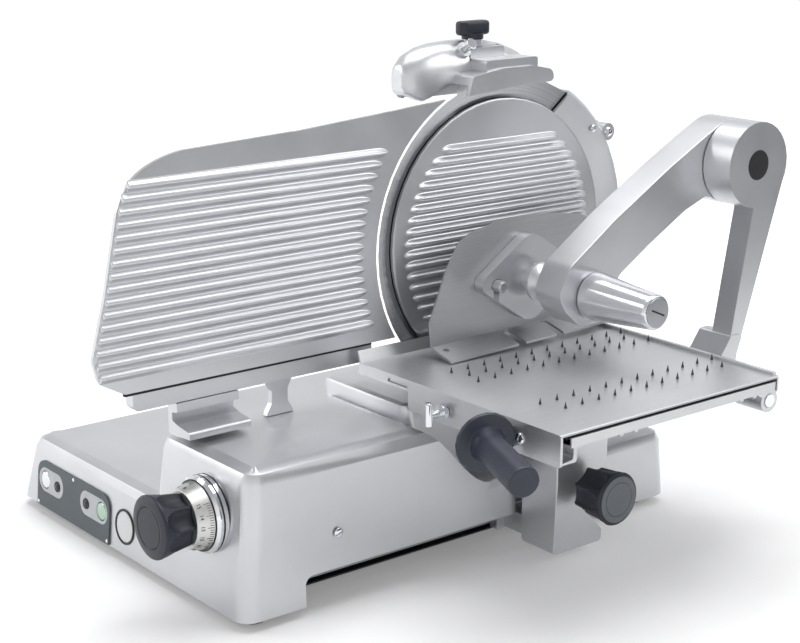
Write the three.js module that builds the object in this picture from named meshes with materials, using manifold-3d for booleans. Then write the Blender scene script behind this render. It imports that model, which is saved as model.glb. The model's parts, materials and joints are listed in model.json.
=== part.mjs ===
// A motor-driven slicing machine with an upright round blade, built from its separate pieces.
//
// Millimetres, +Z up. While building, x = 0 is the rim plane of the blade cover, y = 0 is the
// blade axis and z = 0 is the table the machine stands on. The operator stands at -Y, the carriage
// runs on the +X side, and the last lines move the whole group so that the middle of its foot print
// is the origin.

import * as THREE from 'three';
import Module from 'manifold-3d';
import { mergeVertices } from 'three/addons/utils/BufferGeometryUtils.js';

const wasm = await Module();
wasm.setup();

// Driving dimensions

const bladeRadius = 175;
const bladeAxisHeight = 310;
const bladeTop = bladeAxisHeight + bladeRadius;
const tableTop = 202;
const seat = 0.3;             // gap kept between pieces that rest on each other
const runningGap = 0.5;       // gap around a moving shaft or pin

// Finishes

const finish = (color, metalness, roughness) => ({ color, metalness, roughness });
const castAluminium = finish(0xc6c8ca, 0.9, 0.42);
const polishedAluminium = finish(0xd6d8da, 1.0, 0.22);
const stainless = finish(0xcdd0d2, 1.0, 0.3);
const bladeSteel = finish(0x8d9296, 1.0, 0.25);
const chrome = finish(0xe2e4e6, 1.0, 0.1);
const steel = finish(0x9a9da0, 1.0, 0.4);
const bronze = finish(0xb08d57, 1.0, 0.4);
const navyPlastic = finish(0x2b3040, 0.0, 0.4);
const slatePlastic = finish(0x4a4e57, 0.0, 0.5);
const panelPlastic = finish(0x525d61, 0.0, 0.5);
const creamPlastic = finish(0xd9d6c8, 0.0, 0.5);
const lightPlastic = finish(0xb9bec4, 0.0, 0.5);
const blackPaint = finish(0x202224, 0.2, 0.5);
const blackRubber = finish(0x1d1e20, 0.0, 0.8);
const greyStone = finish(0x8e8a84, 0.0, 0.9);
const greenChrome = finish(0xa9bfae, 0.8, 0.2);

// Solids: three.js makes each shape, manifold joins and cuts them

function signedVolume(places, triangles) {
  const [a, b, c] = [new THREE.Vector3(), new THREE.Vector3(), new THREE.Vector3()];
  let volume = 0;
  for (let i = 0; i < triangles.length; i += 3) {
    a.fromArray(places, 3 * triangles[i]);
    b.fromArray(places, 3 * triangles[i + 1]);
    c.fromArray(places, 3 * triangles[i + 2]);
    volume += a.dot(b.cross(c)) / 6;
  }
  return volume;
}

function toSolid(geometry) {
  const plain = geometry.clone();
  plain.deleteAttribute('normal');
  plain.deleteAttribute('uv');
  const merged = mergeVertices(plain, 1e-4);
  const triVerts = new Uint32Array(merged.index.array);
  const vertProperties = new Float32Array(merged.attributes.position.array);
  if (signedVolume(vertProperties, triVerts) < 0) triVerts.reverse();
  return new wasm.Manifold(new wasm.Mesh({ numProp: 3, vertProperties, triVerts }));
}

function toGeometry(solid) {
  const mesh = solid.getMesh();
  const geometry = new THREE.BufferGeometry();
  const positions = new Float32Array(mesh.numVert * 3);
  for (let i = 0; i < mesh.numVert; i += 1) {
    for (let k = 0; k < 3; k += 1) positions[3 * i + k] = mesh.vertProperties[mesh.numProp * i + k];
  }
  geometry.setAttribute('position', new THREE.BufferAttribute(positions, 3));
  geometry.setIndex(new THREE.BufferAttribute(new Uint32Array(mesh.triVerts), 1));
  return geometry;
}

const joined = (first, ...others) => others.reduce((whole, piece) => whole.add(piece), first);
const cut = (first, ...others) => others.reduce((whole, piece) => whole.subtract(piece), first);

// Outlines: corners are [u, v, radius]; a corner with a radius is rounded by an arc

function outline(corners) {
  const shape = new THREE.Shape();
  const at = (i) => new THREE.Vector2(...corners[(i + corners.length) % corners.length].slice(0, 2));
  corners.forEach(([, , radius = 0], i) => {
    const here = at(i);
    const back = at(i - 1).sub(here).normalize();
    const onward = at(i + 1).sub(here).normalize();
    if (radius === 0) {
      if (i === 0) shape.moveTo(here.x, here.y);
      else shape.lineTo(here.x, here.y);
      return;
    }
    const half = Math.acos(THREE.MathUtils.clamp(back.dot(onward), -1, 1)) / 2;
    const start = here.clone().addScaledVector(back, radius / Math.tan(half));
    const end = here.clone().addScaledVector(onward, radius / Math.tan(half));
    const centre = back.clone().add(onward).normalize().multiplyScalar(radius / Math.sin(half)).add(here);
    const clockwise = back.x * onward.y - back.y * onward.x > 0;
    if (i === 0) shape.moveTo(start.x, start.y);
    else shape.lineTo(start.x, start.y);
    const from = Math.atan2(start.y - centre.y, start.x - centre.x);
    const to = Math.atan2(end.y - centre.y, end.x - centre.x);
    shape.absarc(centre.x, centre.y, radius, from, to, clockwise);
  });
  shape.closePath();
  return shape;
}

function arc(u, v, radius, fromDegrees, toDegrees, steps) {
  const points = [];
  for (let i = 0; i <= steps; i += 1) {
    const angle = THREE.MathUtils.degToRad(fromDegrees + ((toDegrees - fromDegrees) * i) / steps);
    points.push([u + radius * Math.cos(angle), v + radius * Math.sin(angle)]);
  }
  return points;
}

const rectangle = (u0, u1, v0, v1, radius = 0) =>
  outline([[u0, v0, radius], [u1, v0, radius], [u1, v1, radius], [u0, v1, radius]]);

// Slabs: an outline pushed along one axis. Outlines are drawn as (y, z), (x, z) and (x, y)

const X = new THREE.Vector3(1, 0, 0);
const Y = new THREE.Vector3(0, 1, 0);
const Z = new THREE.Vector3(0, 0, 1);

function slab(shape, depth, segments, bevel) {
  const edge = bevel
    ? { bevelEnabled: true, bevelSize: bevel, bevelThickness: bevel, bevelOffset: -bevel, bevelSegments: 2 }
    : { bevelEnabled: false };
  const length = bevel ? depth - 2 * bevel : depth;
  const geometry = new THREE.ExtrudeGeometry(shape, { depth: length, curveSegments: segments, ...edge });
  if (bevel) geometry.translate(0, 0, bevel);
  return geometry;
}

function alongX(shape, x0, x1, segments = 2, bevel = 0) {
  const geometry = slab(shape, x1 - x0, segments, bevel);
  geometry.applyMatrix4(new THREE.Matrix4().makeBasis(Y, Z, X));
  return toSolid(geometry.translate(x0, 0, 0));
}

function alongY(shape, y0, y1, segments = 2, bevel = 0) {
  const geometry = slab(shape, y1 - y0, segments, bevel);
  geometry.applyMatrix4(new THREE.Matrix4().makeBasis(X, Z, Y.clone().negate()));
  return toSolid(geometry.translate(0, y1, 0));
}

function alongZ(shape, z0, z1, segments = 2, bevel = 0) {
  const geometry = slab(shape, z1 - z0, segments, bevel);
  return toSolid(geometry.translate(0, 0, z0));
}

function box(x0, x1, y0, y1, z0, z1) {
  const geometry = new THREE.BoxGeometry(x1 - x0, y1 - y0, z1 - z0);
  return toSolid(geometry.translate((x0 + x1) / 2, (y0 + y1) / 2, (z0 + z1) / 2));
}

// Turned pieces: profile points are [radius, distance along the axis]

const turnedBasis = {
  x: new THREE.Matrix4().makeBasis(Y, X, Z.clone().negate()),
  y: new THREE.Matrix4().makeBasis(X, Y, Z),
  z: new THREE.Matrix4().makeBasis(X, Z, Y.clone().negate()),
};

function turned(axis, profile, centre, segments = 24) {
  const points = profile.map(([radius, along]) => new THREE.Vector2(radius, along));
  const onAxis = profile[0][0] === 0 && profile.at(-1)[0] === 0;
  if (!onAxis) points.push(points[0].clone());
  const geometry = new THREE.LatheGeometry(points, segments);
  geometry.applyMatrix4(turnedBasis[axis]);
  geometry.translate(centre.x ?? 0, centre.y ?? 0, centre.z ?? 0);
  return toSolid(geometry);
}

const rod = (axis, radius, from, to, centre, segments = 20) =>
  turned(axis, [[0, from], [radius, from], [radius, to], [0, to]], centre, segments);

const ring = (axis, inner, outer, from, to, centre, segments = 24) =>
  turned(axis, [[inner, from], [outer, from], [outer, to], [inner, to]], centre, segments);

// A closed skin over rings of points, one ring for each section of the piece

function lofted(rings) {
  const count = rings[0].length;
  const last = (rings.length - 1) * count;
  const index = [];
  for (let start = 0; start < last; start += count) {
    for (let k = 0; k < count; k += 1) {
      const here = start + k;
      const next = start + ((k + 1) % count);
      index.push(here, next, next + count, here, next + count, here + count);
    }
  }
  for (let k = 1; k + 1 < count; k += 1) index.push(0, k + 1, k, last, last + k, last + k + 1);
  const geometry = new THREE.BufferGeometry();
  geometry.setAttribute('position', new THREE.Float32BufferAttribute(rings.flat(2), 3));
  geometry.setIndex(index);
  return toSolid(geometry);
}

// Nodes

const group = new THREE.Group();

function add(name, solid, look, parent = group) {
  const mesh = new THREE.Mesh(toGeometry(solid), new THREE.MeshStandardMaterial(look));
  mesh.name = name;
  parent.add(mesh);
  return mesh;
}

// Base casing

const casing = {
  left: -328, right: 132, front: -434, far: 146, bottom: 10, trayTop: 88,
  wall: 5, cornerRadius: 17, edgeRadius: 13, frontLean: 0.082, leftLean: 0.33, farLean: 0.079, rightLean: 0.025,
};
const hump = {
  left: -48, right: 132, far: -110, top: 159, leftLean: 0.07, edgeRadius: 15, cornerRadius: 19,
  slopeFrom: -222, slopeTo: -122,
};
const plateau = { left: -52, right: 92, front: -208, far: 88, top: 174, edgeRadius: 7, cornerRadius: 12 };
const slotReach = Math.sqrt((bladeRadius + 5) ** 2 - (bladeAxisHeight - plateau.top) ** 2) + 3;
const bladeSlot = { x0: -11.5, x1: 7.8, front: -slotReach, far: slotReach };
const floorPlate = { low: casing.bottom + 0.2, high: 12, gap: 6.5, cutBack: 42 };
const floorTop = floorPlate.high + seat;
const notch = { front: -361.5, step: -88, far: 28, top: 41, stepTop: 66 };

// A block with rounded vertical corners and a rounded top edge; its walls can lean
function castBlock(left, right, front, far, top, corner, edge, lean = () => {}, segments = 3) {
  const shape = outline([[left, front, corner], [right, front, corner], [right, far, corner], [left, far, corner]]);
  const under = 2 * edge;
  const low = casing.bottom - under;
  const geometry = slab(shape, top - low, segments, edge).translate(0, 0, low);
  const place = geometry.attributes.position;
  const point = new THREE.Vector3();
  for (let i = 0; i < place.count; i += 1) {
    point.fromBufferAttribute(place, i);
    lean(point, point.z - casing.bottom);
    place.setXYZ(i, point.x, point.y, point.z);
  }
  const reach = 1000;
  return toSolid(geometry).intersect(box(-reach, reach, -reach, reach, casing.bottom, reach));
}

function leanWalls(point, height) {
  if (point.y < casing.front + 40) point.y += height * casing.frontLean;
  if (point.y > casing.far - 40) point.y -= height * casing.farLean;
  if (point.x < casing.left + 60) point.x += height * casing.leftLean;
  if (point.x > casing.right - 30) point.x -= height * casing.rightLean;
}

function trayBlock(inset) {
  return castBlock(casing.left + inset, casing.right - inset, casing.front + inset, casing.far - inset,
    casing.trayTop - inset, casing.cornerRadius, casing.edgeRadius, leanWalls, inset > 0 ? 2 : 3);
}

// The hump's top falls to the tray in a smooth slope toward the far end
function humpBlock(inset) {
  const block = castBlock(hump.left + inset, hump.right - inset, casing.front + inset, hump.far,
    hump.top - inset, hump.cornerRadius, hump.edgeRadius, (point, height) => {
      if (point.x < 0) point.x += height * hump.leftLean;
      leanWalls(point, height);
    }, inset > 0 ? 2 : 3);
  const low = casing.trayTop - 4 - inset;
  const slope = [];
  const steps = 10;
  for (let i = 0; i <= steps; i += 1) {
    const y = THREE.MathUtils.lerp(hump.slopeFrom, hump.slopeTo, i / steps);
    slope.push([y - inset, THREE.MathUtils.lerp(hump.top - inset, low, THREE.MathUtils.smoothstep(i / steps, 0, 1))]);
  }
  const over = hump.top + 20;
  const side = outline([[casing.front - 20, 0], [hump.far + 20, 0], [hump.far + 20, low], ...slope.toReversed(),
    [hump.slopeFrom - 20, over], [casing.front - 20, over]]);
  return block.intersect(alongX(side, hump.left - 20, hump.right + 20));
}

function plateauBlock(inset) {
  return castBlock(plateau.left + inset, plateau.right - inset, plateau.front + inset, plateau.far - inset,
    plateau.top - inset, plateau.cornerRadius, plateau.edgeRadius);
}

const panel = {
  left: -285, right: -124, low: 1, high: 54, corner: 15, proud: 1.8, behind: 7, rim: 2.6, inset: 2.5,
};
const pad = { low: 19, high: 47, corner: 13.8, sunk: 0.2 };
const startRecess = { left: -282, right: -226 };
const stopRecess = { left: -188, right: -128 };
const panelFloor = panel.inset - panel.proud;
const frontLeanAngle = -Math.atan(casing.frontLean);

const dial = { x: 62, z: 103, flangeRadius: 38.5, knobRadius: 32, shaftRadius: 6, frontY: -493, lobes: 8, fluteDepth: 4.5, backShare: 0.84 };
const bracketSlot = { x0: -33, x1: 7, y0: -402, y1: -369 };
const beltSlot = { x0: -44.5, x1: -26, halfWidth: 46 };
const feetPlaces = [[-288, -404], [104, -406], [-288, 116], [104, 112]];
const foot = { radius: 16, height: 9.9, studRadius: 4, studTop: 38, bossRadius: 10 };
const shortBoss = { index: 1, top: 52, webHalf: 3 };   // it stays under the cam and has a web to the wall
const footHole = ([x, y]) => rod('z', foot.studRadius + seat, foot.height / 2, foot.studTop + 2, { x, y }, 10);

function panelOutline(inset) {
  return outline([
    [panel.left + inset, panel.low + inset, 1], [panel.right - inset, panel.low + inset, 1],
    [panel.right - inset, panel.high - inset, panel.corner - inset],
    [panel.left + inset, panel.high - inset, panel.corner - inset],
  ]);
}

// The window that the control panel's block reaches through
function panelWindow() {
  const window = slab(panelOutline(panel.rim - seat), 40, 3).applyMatrix4(new THREE.Matrix4().makeBasis(X, Z,
    Y.clone().negate())).translate(0, 20, 0);
  window.applyMatrix4(new THREE.Matrix4().makeRotationX(frontLeanAngle)).translate(0, casing.front - seat, casing.bottom);
  return toSolid(window);
}

function baseCasing() {
  const outer = joined(trayBlock(0), humpBlock(0), plateauBlock(0));
  const inner = joined(trayBlock(casing.wall), humpBlock(casing.wall), plateauBlock(casing.wall));
  const bosses = feetPlaces.map(([x, y], i) => {
    if (i !== shortBoss.index) return rod('z', foot.bossRadius, floorTop, casing.trayTop - 2, { x, y }, 12);
    const web = box(x, casing.right - 3, y - shortBoss.webHalf, y + shortBoss.webHalf, floorTop, shortBoss.top);
    return joined(rod('z', foot.bossRadius, floorTop, shortBoss.top, { x, y }, 12), web);
  });
  const shell = cut(outer, inner);
  const notchShape = outline([
    [notch.front, -20, 0], [notch.far, -20, 0], [notch.far, notch.stepTop, 6], [notch.step, notch.stepTop, 4],
    [notch.step, notch.top, 0], [notch.front, notch.top, 9],
  ]);
  return cut(
    joined(shell, ...bosses),
    panelWindow(),
    alongX(notchShape, 112, 140, 3),
    rod('y', dial.shaftRadius + runningGap, casing.front - 6, casing.front + 34, dial, 20),
    alongZ(rectangle(bracketSlot.x0, bracketSlot.x1, bracketSlot.y0, bracketSlot.y1, 4), hump.top - 19, hump.top + 11),
    box(beltSlot.x0, beltSlot.x1, -beltSlot.halfWidth, beltSlot.halfWidth, plateau.top - 14, plateau.top + 6),
    box(bladeSlot.x0, bladeSlot.x1, bladeSlot.front, bladeSlot.far, plateau.top - 24, plateau.top + 6),
    ...feetPlaces.map(footHole),
  );
}
add('base_casing', baseCasing(), castAluminium);

// Bottom plate and feet

function bottomPlate() {
  const { gap, cutBack } = floorPlate;
  const shape = outline([
    [casing.left + gap + 1, casing.front + gap, 18], [casing.right - gap, casing.front + gap, 18],
    [casing.right - gap, notch.front - 4], [casing.right - cutBack, notch.front - 4],
    [casing.right - cutBack, notch.far + 4], [casing.right - gap, notch.far + 4],
    [casing.right - gap, casing.far - gap, 18], [casing.left + gap + 1, casing.far - gap, 18],
  ]);
  return cut(alongZ(shape, floorPlate.low, floorPlate.high), ...feetPlaces.map(footHole));
}
add('bottom_plate', bottomPlate(), blackPaint);

const footProfile = [[0, 0], [foot.radius - 4, 0], [foot.radius - 2, 2], [foot.radius, foot.height],
  [foot.studRadius, foot.height], [foot.studRadius, foot.studTop], [0, foot.studTop]];
feetPlaces.forEach(([x, y], i) => {
  add(`foot_${i + 1}`, turned('z', footProfile, { x, y }, 14), blackRubber);
});

// Control panel on the leaning front face

const frontFace = new THREE.Group();
frontFace.position.set(0, casing.front - seat, casing.bottom);
frontFace.rotation.x = frontLeanAngle;
group.add(frontFace);
const startButton = { x: -267, z: 33, radius: 10 };
const stopButton = { x: -141, z: 33.5, radius: 10 };
const buttonTravel = 2.5;

// A thin plate outside the wall and a block that reaches through the wall's window
const recessOutline = ({ left, right }, gap) =>
  rectangle(left + gap, right - gap, pad.low + gap, pad.high - gap, pad.corner - gap);
const buttonWell = ({ x, z, radius }) =>
  rod('y', radius + runningGap, -panel.proud - 1, panel.behind - 1, { x, z }, 16);

function controlPanel() {
  const plate = alongY(panelOutline(0), -panel.proud, 0, 3);
  const block = alongY(panelOutline(panel.rim), -1, panel.behind, 3);
  const recesses = [startRecess, stopRecess].map((recess) =>
    alongY(recessOutline(recess, 0), -panel.proud - 1, panelFloor, 4));
  return cut(joined(plate, block), ...recesses, ...[startButton, stopButton].map(buttonWell));
}
add('control_panel', controlPanel(), panelPlastic, frontFace);

// A light plate laid in each recess around its button
function panelPad(recess, button) {
  const plate = alongY(recessOutline(recess, seat), pad.sunk - panel.proud, panelFloor - seat, 4);
  return plate.subtract(buttonWell(button));
}
add('start_pad', panelPad(startRecess, startButton), lightPlastic, frontFace);
add('stop_pad', panelPad(stopRecess, stopButton), lightPlastic, frontFace);

function pushButton({ x, z, radius }) {
  const back = panel.behind - 1.4 - buttonTravel;
  const face = panelFloor - 3.6;
  return turned('y', [[0, back], [radius, back], [radius, face + 2.4], [radius - 0.9, face + 1.2],
    [radius - 3.2, face + 0.4], [0, face]], { x, z }, 16);
}
add('start_button', pushButton(startButton), chrome, frontFace);
add('stop_button', pushButton(stopButton), greenChrome, frontFace);

// Thickness dial

const camRadius = 40;
const camTurn = 330;
const fenceTravel = 16;
const pinStart = 18;
const pinRadius = 3;
const cam = { front: -411, back: -403, grooveDepth: 5 };
const dialFlangeFront = casing.front - 5;
const dialFlangeBack = casing.front + 19;
const shaftEnds = { front: dial.frontY + 12, back: cam.back + 8 };
const pressFit = 0.3;          // gap around a shaft that turns with its wheel

function dialFlange() {
  const rim = dial.flangeRadius;
  const bore = dial.shaftRadius + runningGap;
  const grooved = [6, 12].flatMap((along) => [[rim, along], [rim - 1.2, along + 0.4], [rim - 1.2, along + 1.6],
    [rim, along + 2]].map(([radius, depth]) => [radius, dialFlangeFront + depth]));
  const body = turned('y', [[bore, dialFlangeFront], [rim - 3, dialFlangeFront], [rim, dialFlangeFront + 3],
    ...grooved, [rim, dialFlangeBack], [bore, dialFlangeBack]], dial, 28);
  return cut(body, humpBlock(-seat), trayBlock(-seat));
}
add('dial_flange', dialFlange(), chrome);

const dialFace = dialFlangeFront - 1;
const scaleFront = dialFace - 17;
const dialScale = { back: 34.5, front: 29.5, bore: dial.shaftRadius + pressFit };
add('dial_scale', turned('y', [[dialScale.bore, dialFace], [dialScale.back, dialFace], [dialScale.front, scaleFront],
  [dialScale.bore, scaleFront]], dial, 30), creamPlastic);

function lobedOutline(radius, lobes, depth, points = 6) {
  const corners = [];
  const count = lobes * points;
  for (let i = 0; i < count; i += 1) {
    const angle = (2 * Math.PI * i) / count;
    const r = radius - depth * (0.5 - 0.5 * Math.cos(lobes * angle));
    corners.push([r * Math.cos(angle), r * Math.sin(angle)]);
  }
  return corners;
}

// A fluted knob that grows wider toward its front face, where the flutes run out
function dialKnob() {
  const corners = lobedOutline(dial.knobRadius, dial.lobes, dial.fluteDepth);
  const length = scaleFront - seat - dial.frontY;
  const geometry = slab(outline(corners), length, 2, 2);
  const place = geometry.attributes.position;
  for (let i = 0; i < place.count; i += 1) {
    const along = place.getZ(i) / length;
    const reach = Math.hypot(place.getX(i), place.getY(i));
    const filled = THREE.MathUtils.lerp(reach, dial.knobRadius, 0.4 * along * Math.min(1, reach / 20));
    const size = (THREE.MathUtils.lerp(dial.backShare, 1, along) * filled) / Math.max(reach, 1);
    place.setXY(i, place.getX(i) * size, place.getY(i) * size);
  }
  geometry.applyMatrix4(new THREE.Matrix4().makeBasis(X, Z, Y.clone().negate()));
  geometry.translate(dial.x, dial.frontY + length, dial.z);
  return toSolid(geometry).subtract(rod('y', dial.shaftRadius + pressFit, shaftEnds.front, scaleFront + 1, dial, 20));
}
add('dial_knob', dialKnob(), navyPlastic);
add('dial_shaft', rod('y', dial.shaftRadius, shaftEnds.front + 0.4, shaftEnds.back, dial, 20), steel);

// The cam's spiral groove moves the fence as the dial turns
function scrollCam() {
  const inner = [];
  const outer = [];
  const steps = 18;
  const half = pinRadius + runningGap;
  const lead = fenceTravel / camTurn;
  for (let i = -1; i <= steps + 1; i += 1) {
    const turn = (camTurn * i) / steps;
    const angle = THREE.MathUtils.degToRad(180 + turn);
    const r = pinStart + lead * turn;
    inner.push([dial.x + (r - half) * Math.cos(angle), dial.z + (r - half) * Math.sin(angle)]);
    outer.push([dial.x + (r + half) * Math.cos(angle), dial.z + (r + half) * Math.sin(angle)]);
  }
  const groove = alongY(outline([...outer, ...inner.toReversed()]), cam.back - cam.grooveDepth, cam.back + 2);
  const disc = ring('y', dial.shaftRadius + pressFit, camRadius, cam.front, cam.back, dial, 28);
  return disc.subtract(groove);
}
add('scroll_cam', scrollCam(), steel);

// Fence: slide, guides, bar, strut, nuts and ribbed plate

const guide = { radius: 8, z: 126, y: -372 };
const fenceBar = { x0: -12, x1: 1.7, low: 197.5, high: 216, upstandTop: 252, front: -470, far: -180 };
const fencePlate = { x0: 2, x1: 6.8, ribHeight: 1.2, ribWidth: 2.4, ribPitch: 12, firstRib: 238, lastRib: 425 };
const fenceArcRadius = bladeRadius + 2.5;

const guideEnds = { x0: hump.left + 14.4, x1: casing.right - 10.4 };
add('fence_guide', rod('x', guide.radius, guideEnds.x0, guideEnds.x1, guide, 16), steel);

const slide = { x0: -16, x1: 14, near: -401.5, far: -345, low: 112, high: 140 };
const follower = { near: cam.back + 2, far: cam.back + 15, low: 97, high: 105 };

// The block on the guide, the arm with the pin that the cam moves, and the bracket that carries the bar
function fenceSlide() {
  const bracket = outline([
    [-14, slide.low], [0, slide.low], [0, 163, 5], [20, 165, 5], [25, 165], [25, 172, 3], [2, 175, 8], [-7, 178],
    [-7, 186], [3, 188], [3, fenceBar.low - seat], [-14, fenceBar.low - seat],
  ]);
  const above = alongY(bracket, -422, -350, 2).subtract(box(-50, 50, -430, -340, 100, 163));
  const neck = box(-14, 3, bracketSlot.y0 + 3, bracketSlot.y1 - 3, slide.low, 168);
  const block = box(slide.x0, slide.x1, slide.near, slide.far, slide.low, slide.high);
  const pinX = dial.x - pinStart;
  const arm = box(slide.x1 - 4, pinX + 2 * pinRadius, follower.near, follower.far, follower.low, follower.high);
  const armRoot = box(slide.x1 - 8, slide.x1, follower.near, follower.far, follower.low, slide.low + 4);
  const pin = rod('y', pinRadius, cam.back - cam.grooveDepth + 1, follower.far - 7, { x: pinX, z: dial.z }, 12);
  const bore = rod('x', guide.radius + seat, slide.x0 - 2, slide.x1 + 2, guide, 16);
  return cut(joined(above, neck, block, arm, armRoot, pin), bore);
}
add('fence_slide', fenceSlide(), castAluminium);

function fenceBarSolid() {
  const side = outline([
    [fenceBar.front + 5, fenceBar.low], [fenceBar.far, fenceBar.low], [fenceBar.far, fenceBar.high, 3],
    [fenceBar.front, fenceBar.high, 2], [fenceBar.front, fenceBar.low + 5],
  ]);
  const upstand = box(-4, fenceBar.x1, fenceBar.front + 16, fenceBar.far - 16, fenceBar.high - 2, fenceBar.upstandTop);
  return joined(alongX(side, fenceBar.x0, fenceBar.x1), upstand);
}
add('fence_bar', fenceBarSolid(), castAluminium);

function fencePlateSolid() {
  const toward = bladeAxisHeight;
  const edge = arc(0, toward, fenceArcRadius, 118, 211, 16);
  const shape = outline([
    [-481, 219, 8], edge.at(-1), ...edge.toReversed().slice(1), [-273, 453], [-412, 442, 60],
    [-447, 436, 12], [-480.5, 403, 30], [-498.5, 315.5], [-514, 258, 8], [-508, 234, 12],
  ]);
  const plate = alongX(shape, fencePlate.x0, fencePlate.x1, 3);
  const ribs = [];
  for (let z = fencePlate.firstRib; z < fencePlate.lastRib; z += fencePlate.ribPitch) {
    const up = z - toward;
    const reach = fenceArcRadius + 20;
    const end = -Math.sqrt(reach * reach - up * up);
    const front = z < 262 ? -502 : THREE.MathUtils.lerp(-506, -476, (z - 262) / 150) + 6;
    ribs.push(box(fencePlate.x1 - 1, fencePlate.x1 + fencePlate.ribHeight, front, end,
      z, z + fencePlate.ribWidth));
  }
  return joined(plate, ...ribs);
}
add('fence_plate', fencePlateSolid(), castAluminium);

function fenceStrut() {
  const side = outline([
    [-312, hump.top + 0.4], [-278, hump.top + 0.4], [-280, 164, 3], [-285, 172, 6], [-285, 186, 6],
    [-279, fenceBar.low - seat], [-311, fenceBar.low - seat],
    [-305, 186, 6], [-305, 172, 6], [-310, 164, 3],
  ]);
  return alongX(side, -12, -4);
}
add('fence_strut', fenceStrut(), castAluminium);

// Blade housing: the upright behind the blade that carries the shaft

const axis = { y: 0, z: bladeAxisHeight };
const housing = { back: -46, front: -13, wall: 5, hubRadius: 76, foot: 95 };
const shaftRadius = 12;
const sharpenerAxis = { x: -29, y: -17 };
const bearing = { x0: -27, x1: -14, inner: shaftRadius + 0.2, outer: 22 };
const guardOuter = bladeRadius + 5;
const guardLow = -24;
const guardHigh = 57;
const lugCircle = bladeRadius + 11;
const lugs = [32.5, -21].map((degrees) => {
  const angle = THREE.MathUtils.degToRad(degrees);
  return { y: lugCircle * Math.cos(angle), z: bladeAxisHeight + lugCircle * Math.sin(angle) };
});
const lugRadius = 11;

const bladeBack = -8;
const flange = { radius: 45, x0: -12.5, x1: bladeBack - seat };
const pulley = { radius: 58, x0: -43.5, x1: -29 };
const motorAxis = { y: 0, z: 47 };
const motor = { radius: 33, front: -49, back: -165, pulleyRadius: 18, shaftRadius: 7 };
const belt = { thick: 3, x0: -42, x1: -30.5, gap: 0.45 };

const post = {
  x0: -40, x1: -18, near: -29, far: 20, low: bladeAxisHeight + pulley.radius + 13.5, top: bladeTop + 30.2,
};

function housingOutline(hub, foot, bottom) {
  const left = arc(0, axis.z, hub, 70, 200, 10);
  const right = arc(0, axis.z, hub, -20, 70, 8);
  return outline([[-foot, bottom], [foot, bottom], ...right, ...left.slice(1)]);
}

function bladeHousing() {
  const body = alongX(housingOutline(housing.hubRadius, housing.foot, plateau.top + seat), housing.back,
    housing.front);
  const pocket = alongX(housingOutline(housing.hubRadius - 6, housing.foot - 7, 160), housing.back - 1,
    housing.front - housing.wall);
  const boss = rod('x', 30, bearing.x0 - 1, housing.front, axis, 28);
  const backPlate = alongX(outline([
    ...arc(0, axis.z, guardOuter, guardLow, guardHigh, 10), ...arc(0, axis.z, 60, guardHigh, guardLow, 4),
  ]), housing.front - housing.wall, housing.front);
  const ears = lugs.map((lug) => rod('x', lugRadius, housing.front - housing.wall, housing.front, lug, 16));
  const postOutline = outline([[post.near, post.low], [post.far, post.low], [post.far, post.top, 4],
    [post.near, post.top, 4]]);
  const upright = alongX(postOutline, post.x0, post.x1);
  const bore = rod('x', bearing.outer + 0.1, bearing.x0 - seat, bearing.x1 + seat, axis, 20);
  const shaftHole = rod('x', shaftRadius + 1, -60, 0, axis, 24);
  const screwHoles = lugs.map((lug) => rod('x', 3.3, -30, 0, lug, 12));
  const studHole = rod('z', 5.4, bladeTop, post.top + 5, sharpenerAxis, 12);
  return cut(joined(cut(body, pocket), boss, backPlate, ...ears, upright), bore, shaftHole, ...screwHoles, studHole);
}
add('blade_housing', bladeHousing(), castAluminium);

const coverOutline = (gap) => housingOutline(housing.hubRadius - gap, housing.foot - gap, plateau.top + 1 + gap);
add('belt_cover', alongX(coverOutline(0), housing.back - 2.3, housing.back - seat), castAluminium);
add('shaft_bearing', ring('x', bearing.inner, bearing.outer, bearing.x0, bearing.x1, axis, 20), steel);

// Blade, shaft and drive

const cover = { radius: bladeRadius - 24.4, ribHeight: 5.4, ribPitch: 12, ribWidth: 3 };

function blade() {
  const profile = [[14, bladeBack], [cover.radius - 0.6, bladeBack], [bladeRadius - 1, 5.8], [bladeRadius, 6.7],
    [cover.radius + 0.9, -4.2], [cover.radius - 2.6, -5.6], [14, -5.6]];
  return turned('x', profile, axis, 52);
}
add('blade', blade(), bladeSteel);

function bladeShaft() {
  const profile = [[0, pulley.x0 - 1], [shaftRadius, pulley.x0 - 1], [shaftRadius, flange.x0], [flange.radius, flange.x0],
    [flange.radius, flange.x1], [13.7, flange.x1], [13.7, -5.6], [0, -5.6]];
  return turned('x', profile, axis, 20);
}
add('blade_shaft', bladeShaft(), steel);
add('blade_nut', rod('x', 20, -5.3, -4, axis, 20), steel);
add('blade_pulley', ring('x', shaftRadius + 0.2, pulley.radius, pulley.x0, pulley.x1, axis, 28), steel);

function motorPulley() {
  const end = motor.front - 60;
  const profile = [[0, end], [motor.shaftRadius, end], [motor.shaftRadius, pulley.x0], [motor.pulleyRadius, pulley.x0],
    [motor.pulleyRadius, pulley.x1], [0, pulley.x1]];
  return turned('x', profile, motorAxis, 20);
}
add('motor_pulley', motorPulley(), steel);

function driveMotor() {
  const bore = motor.shaftRadius + runningGap;
  const profile = [[0, motor.back], [motor.radius - 6, motor.back], [motor.radius, motor.back + 6],
    [motor.radius, motor.front - 8], [20, motor.front - 4], [20, motor.front], [bore, motor.front],
    [bore, motor.front - 61], [0, motor.front - 61]];
  const ceiling = casing.trayTop - casing.wall - seat;
  const mounts = [motor.back + 14, motor.front - 30].map((x) => box(x, x + 12, -38, 38, 66, ceiling));
  return joined(turned('x', profile, motorAxis, 24), ...mounts);
}
add('drive_motor', driveMotor(), steel);

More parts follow.
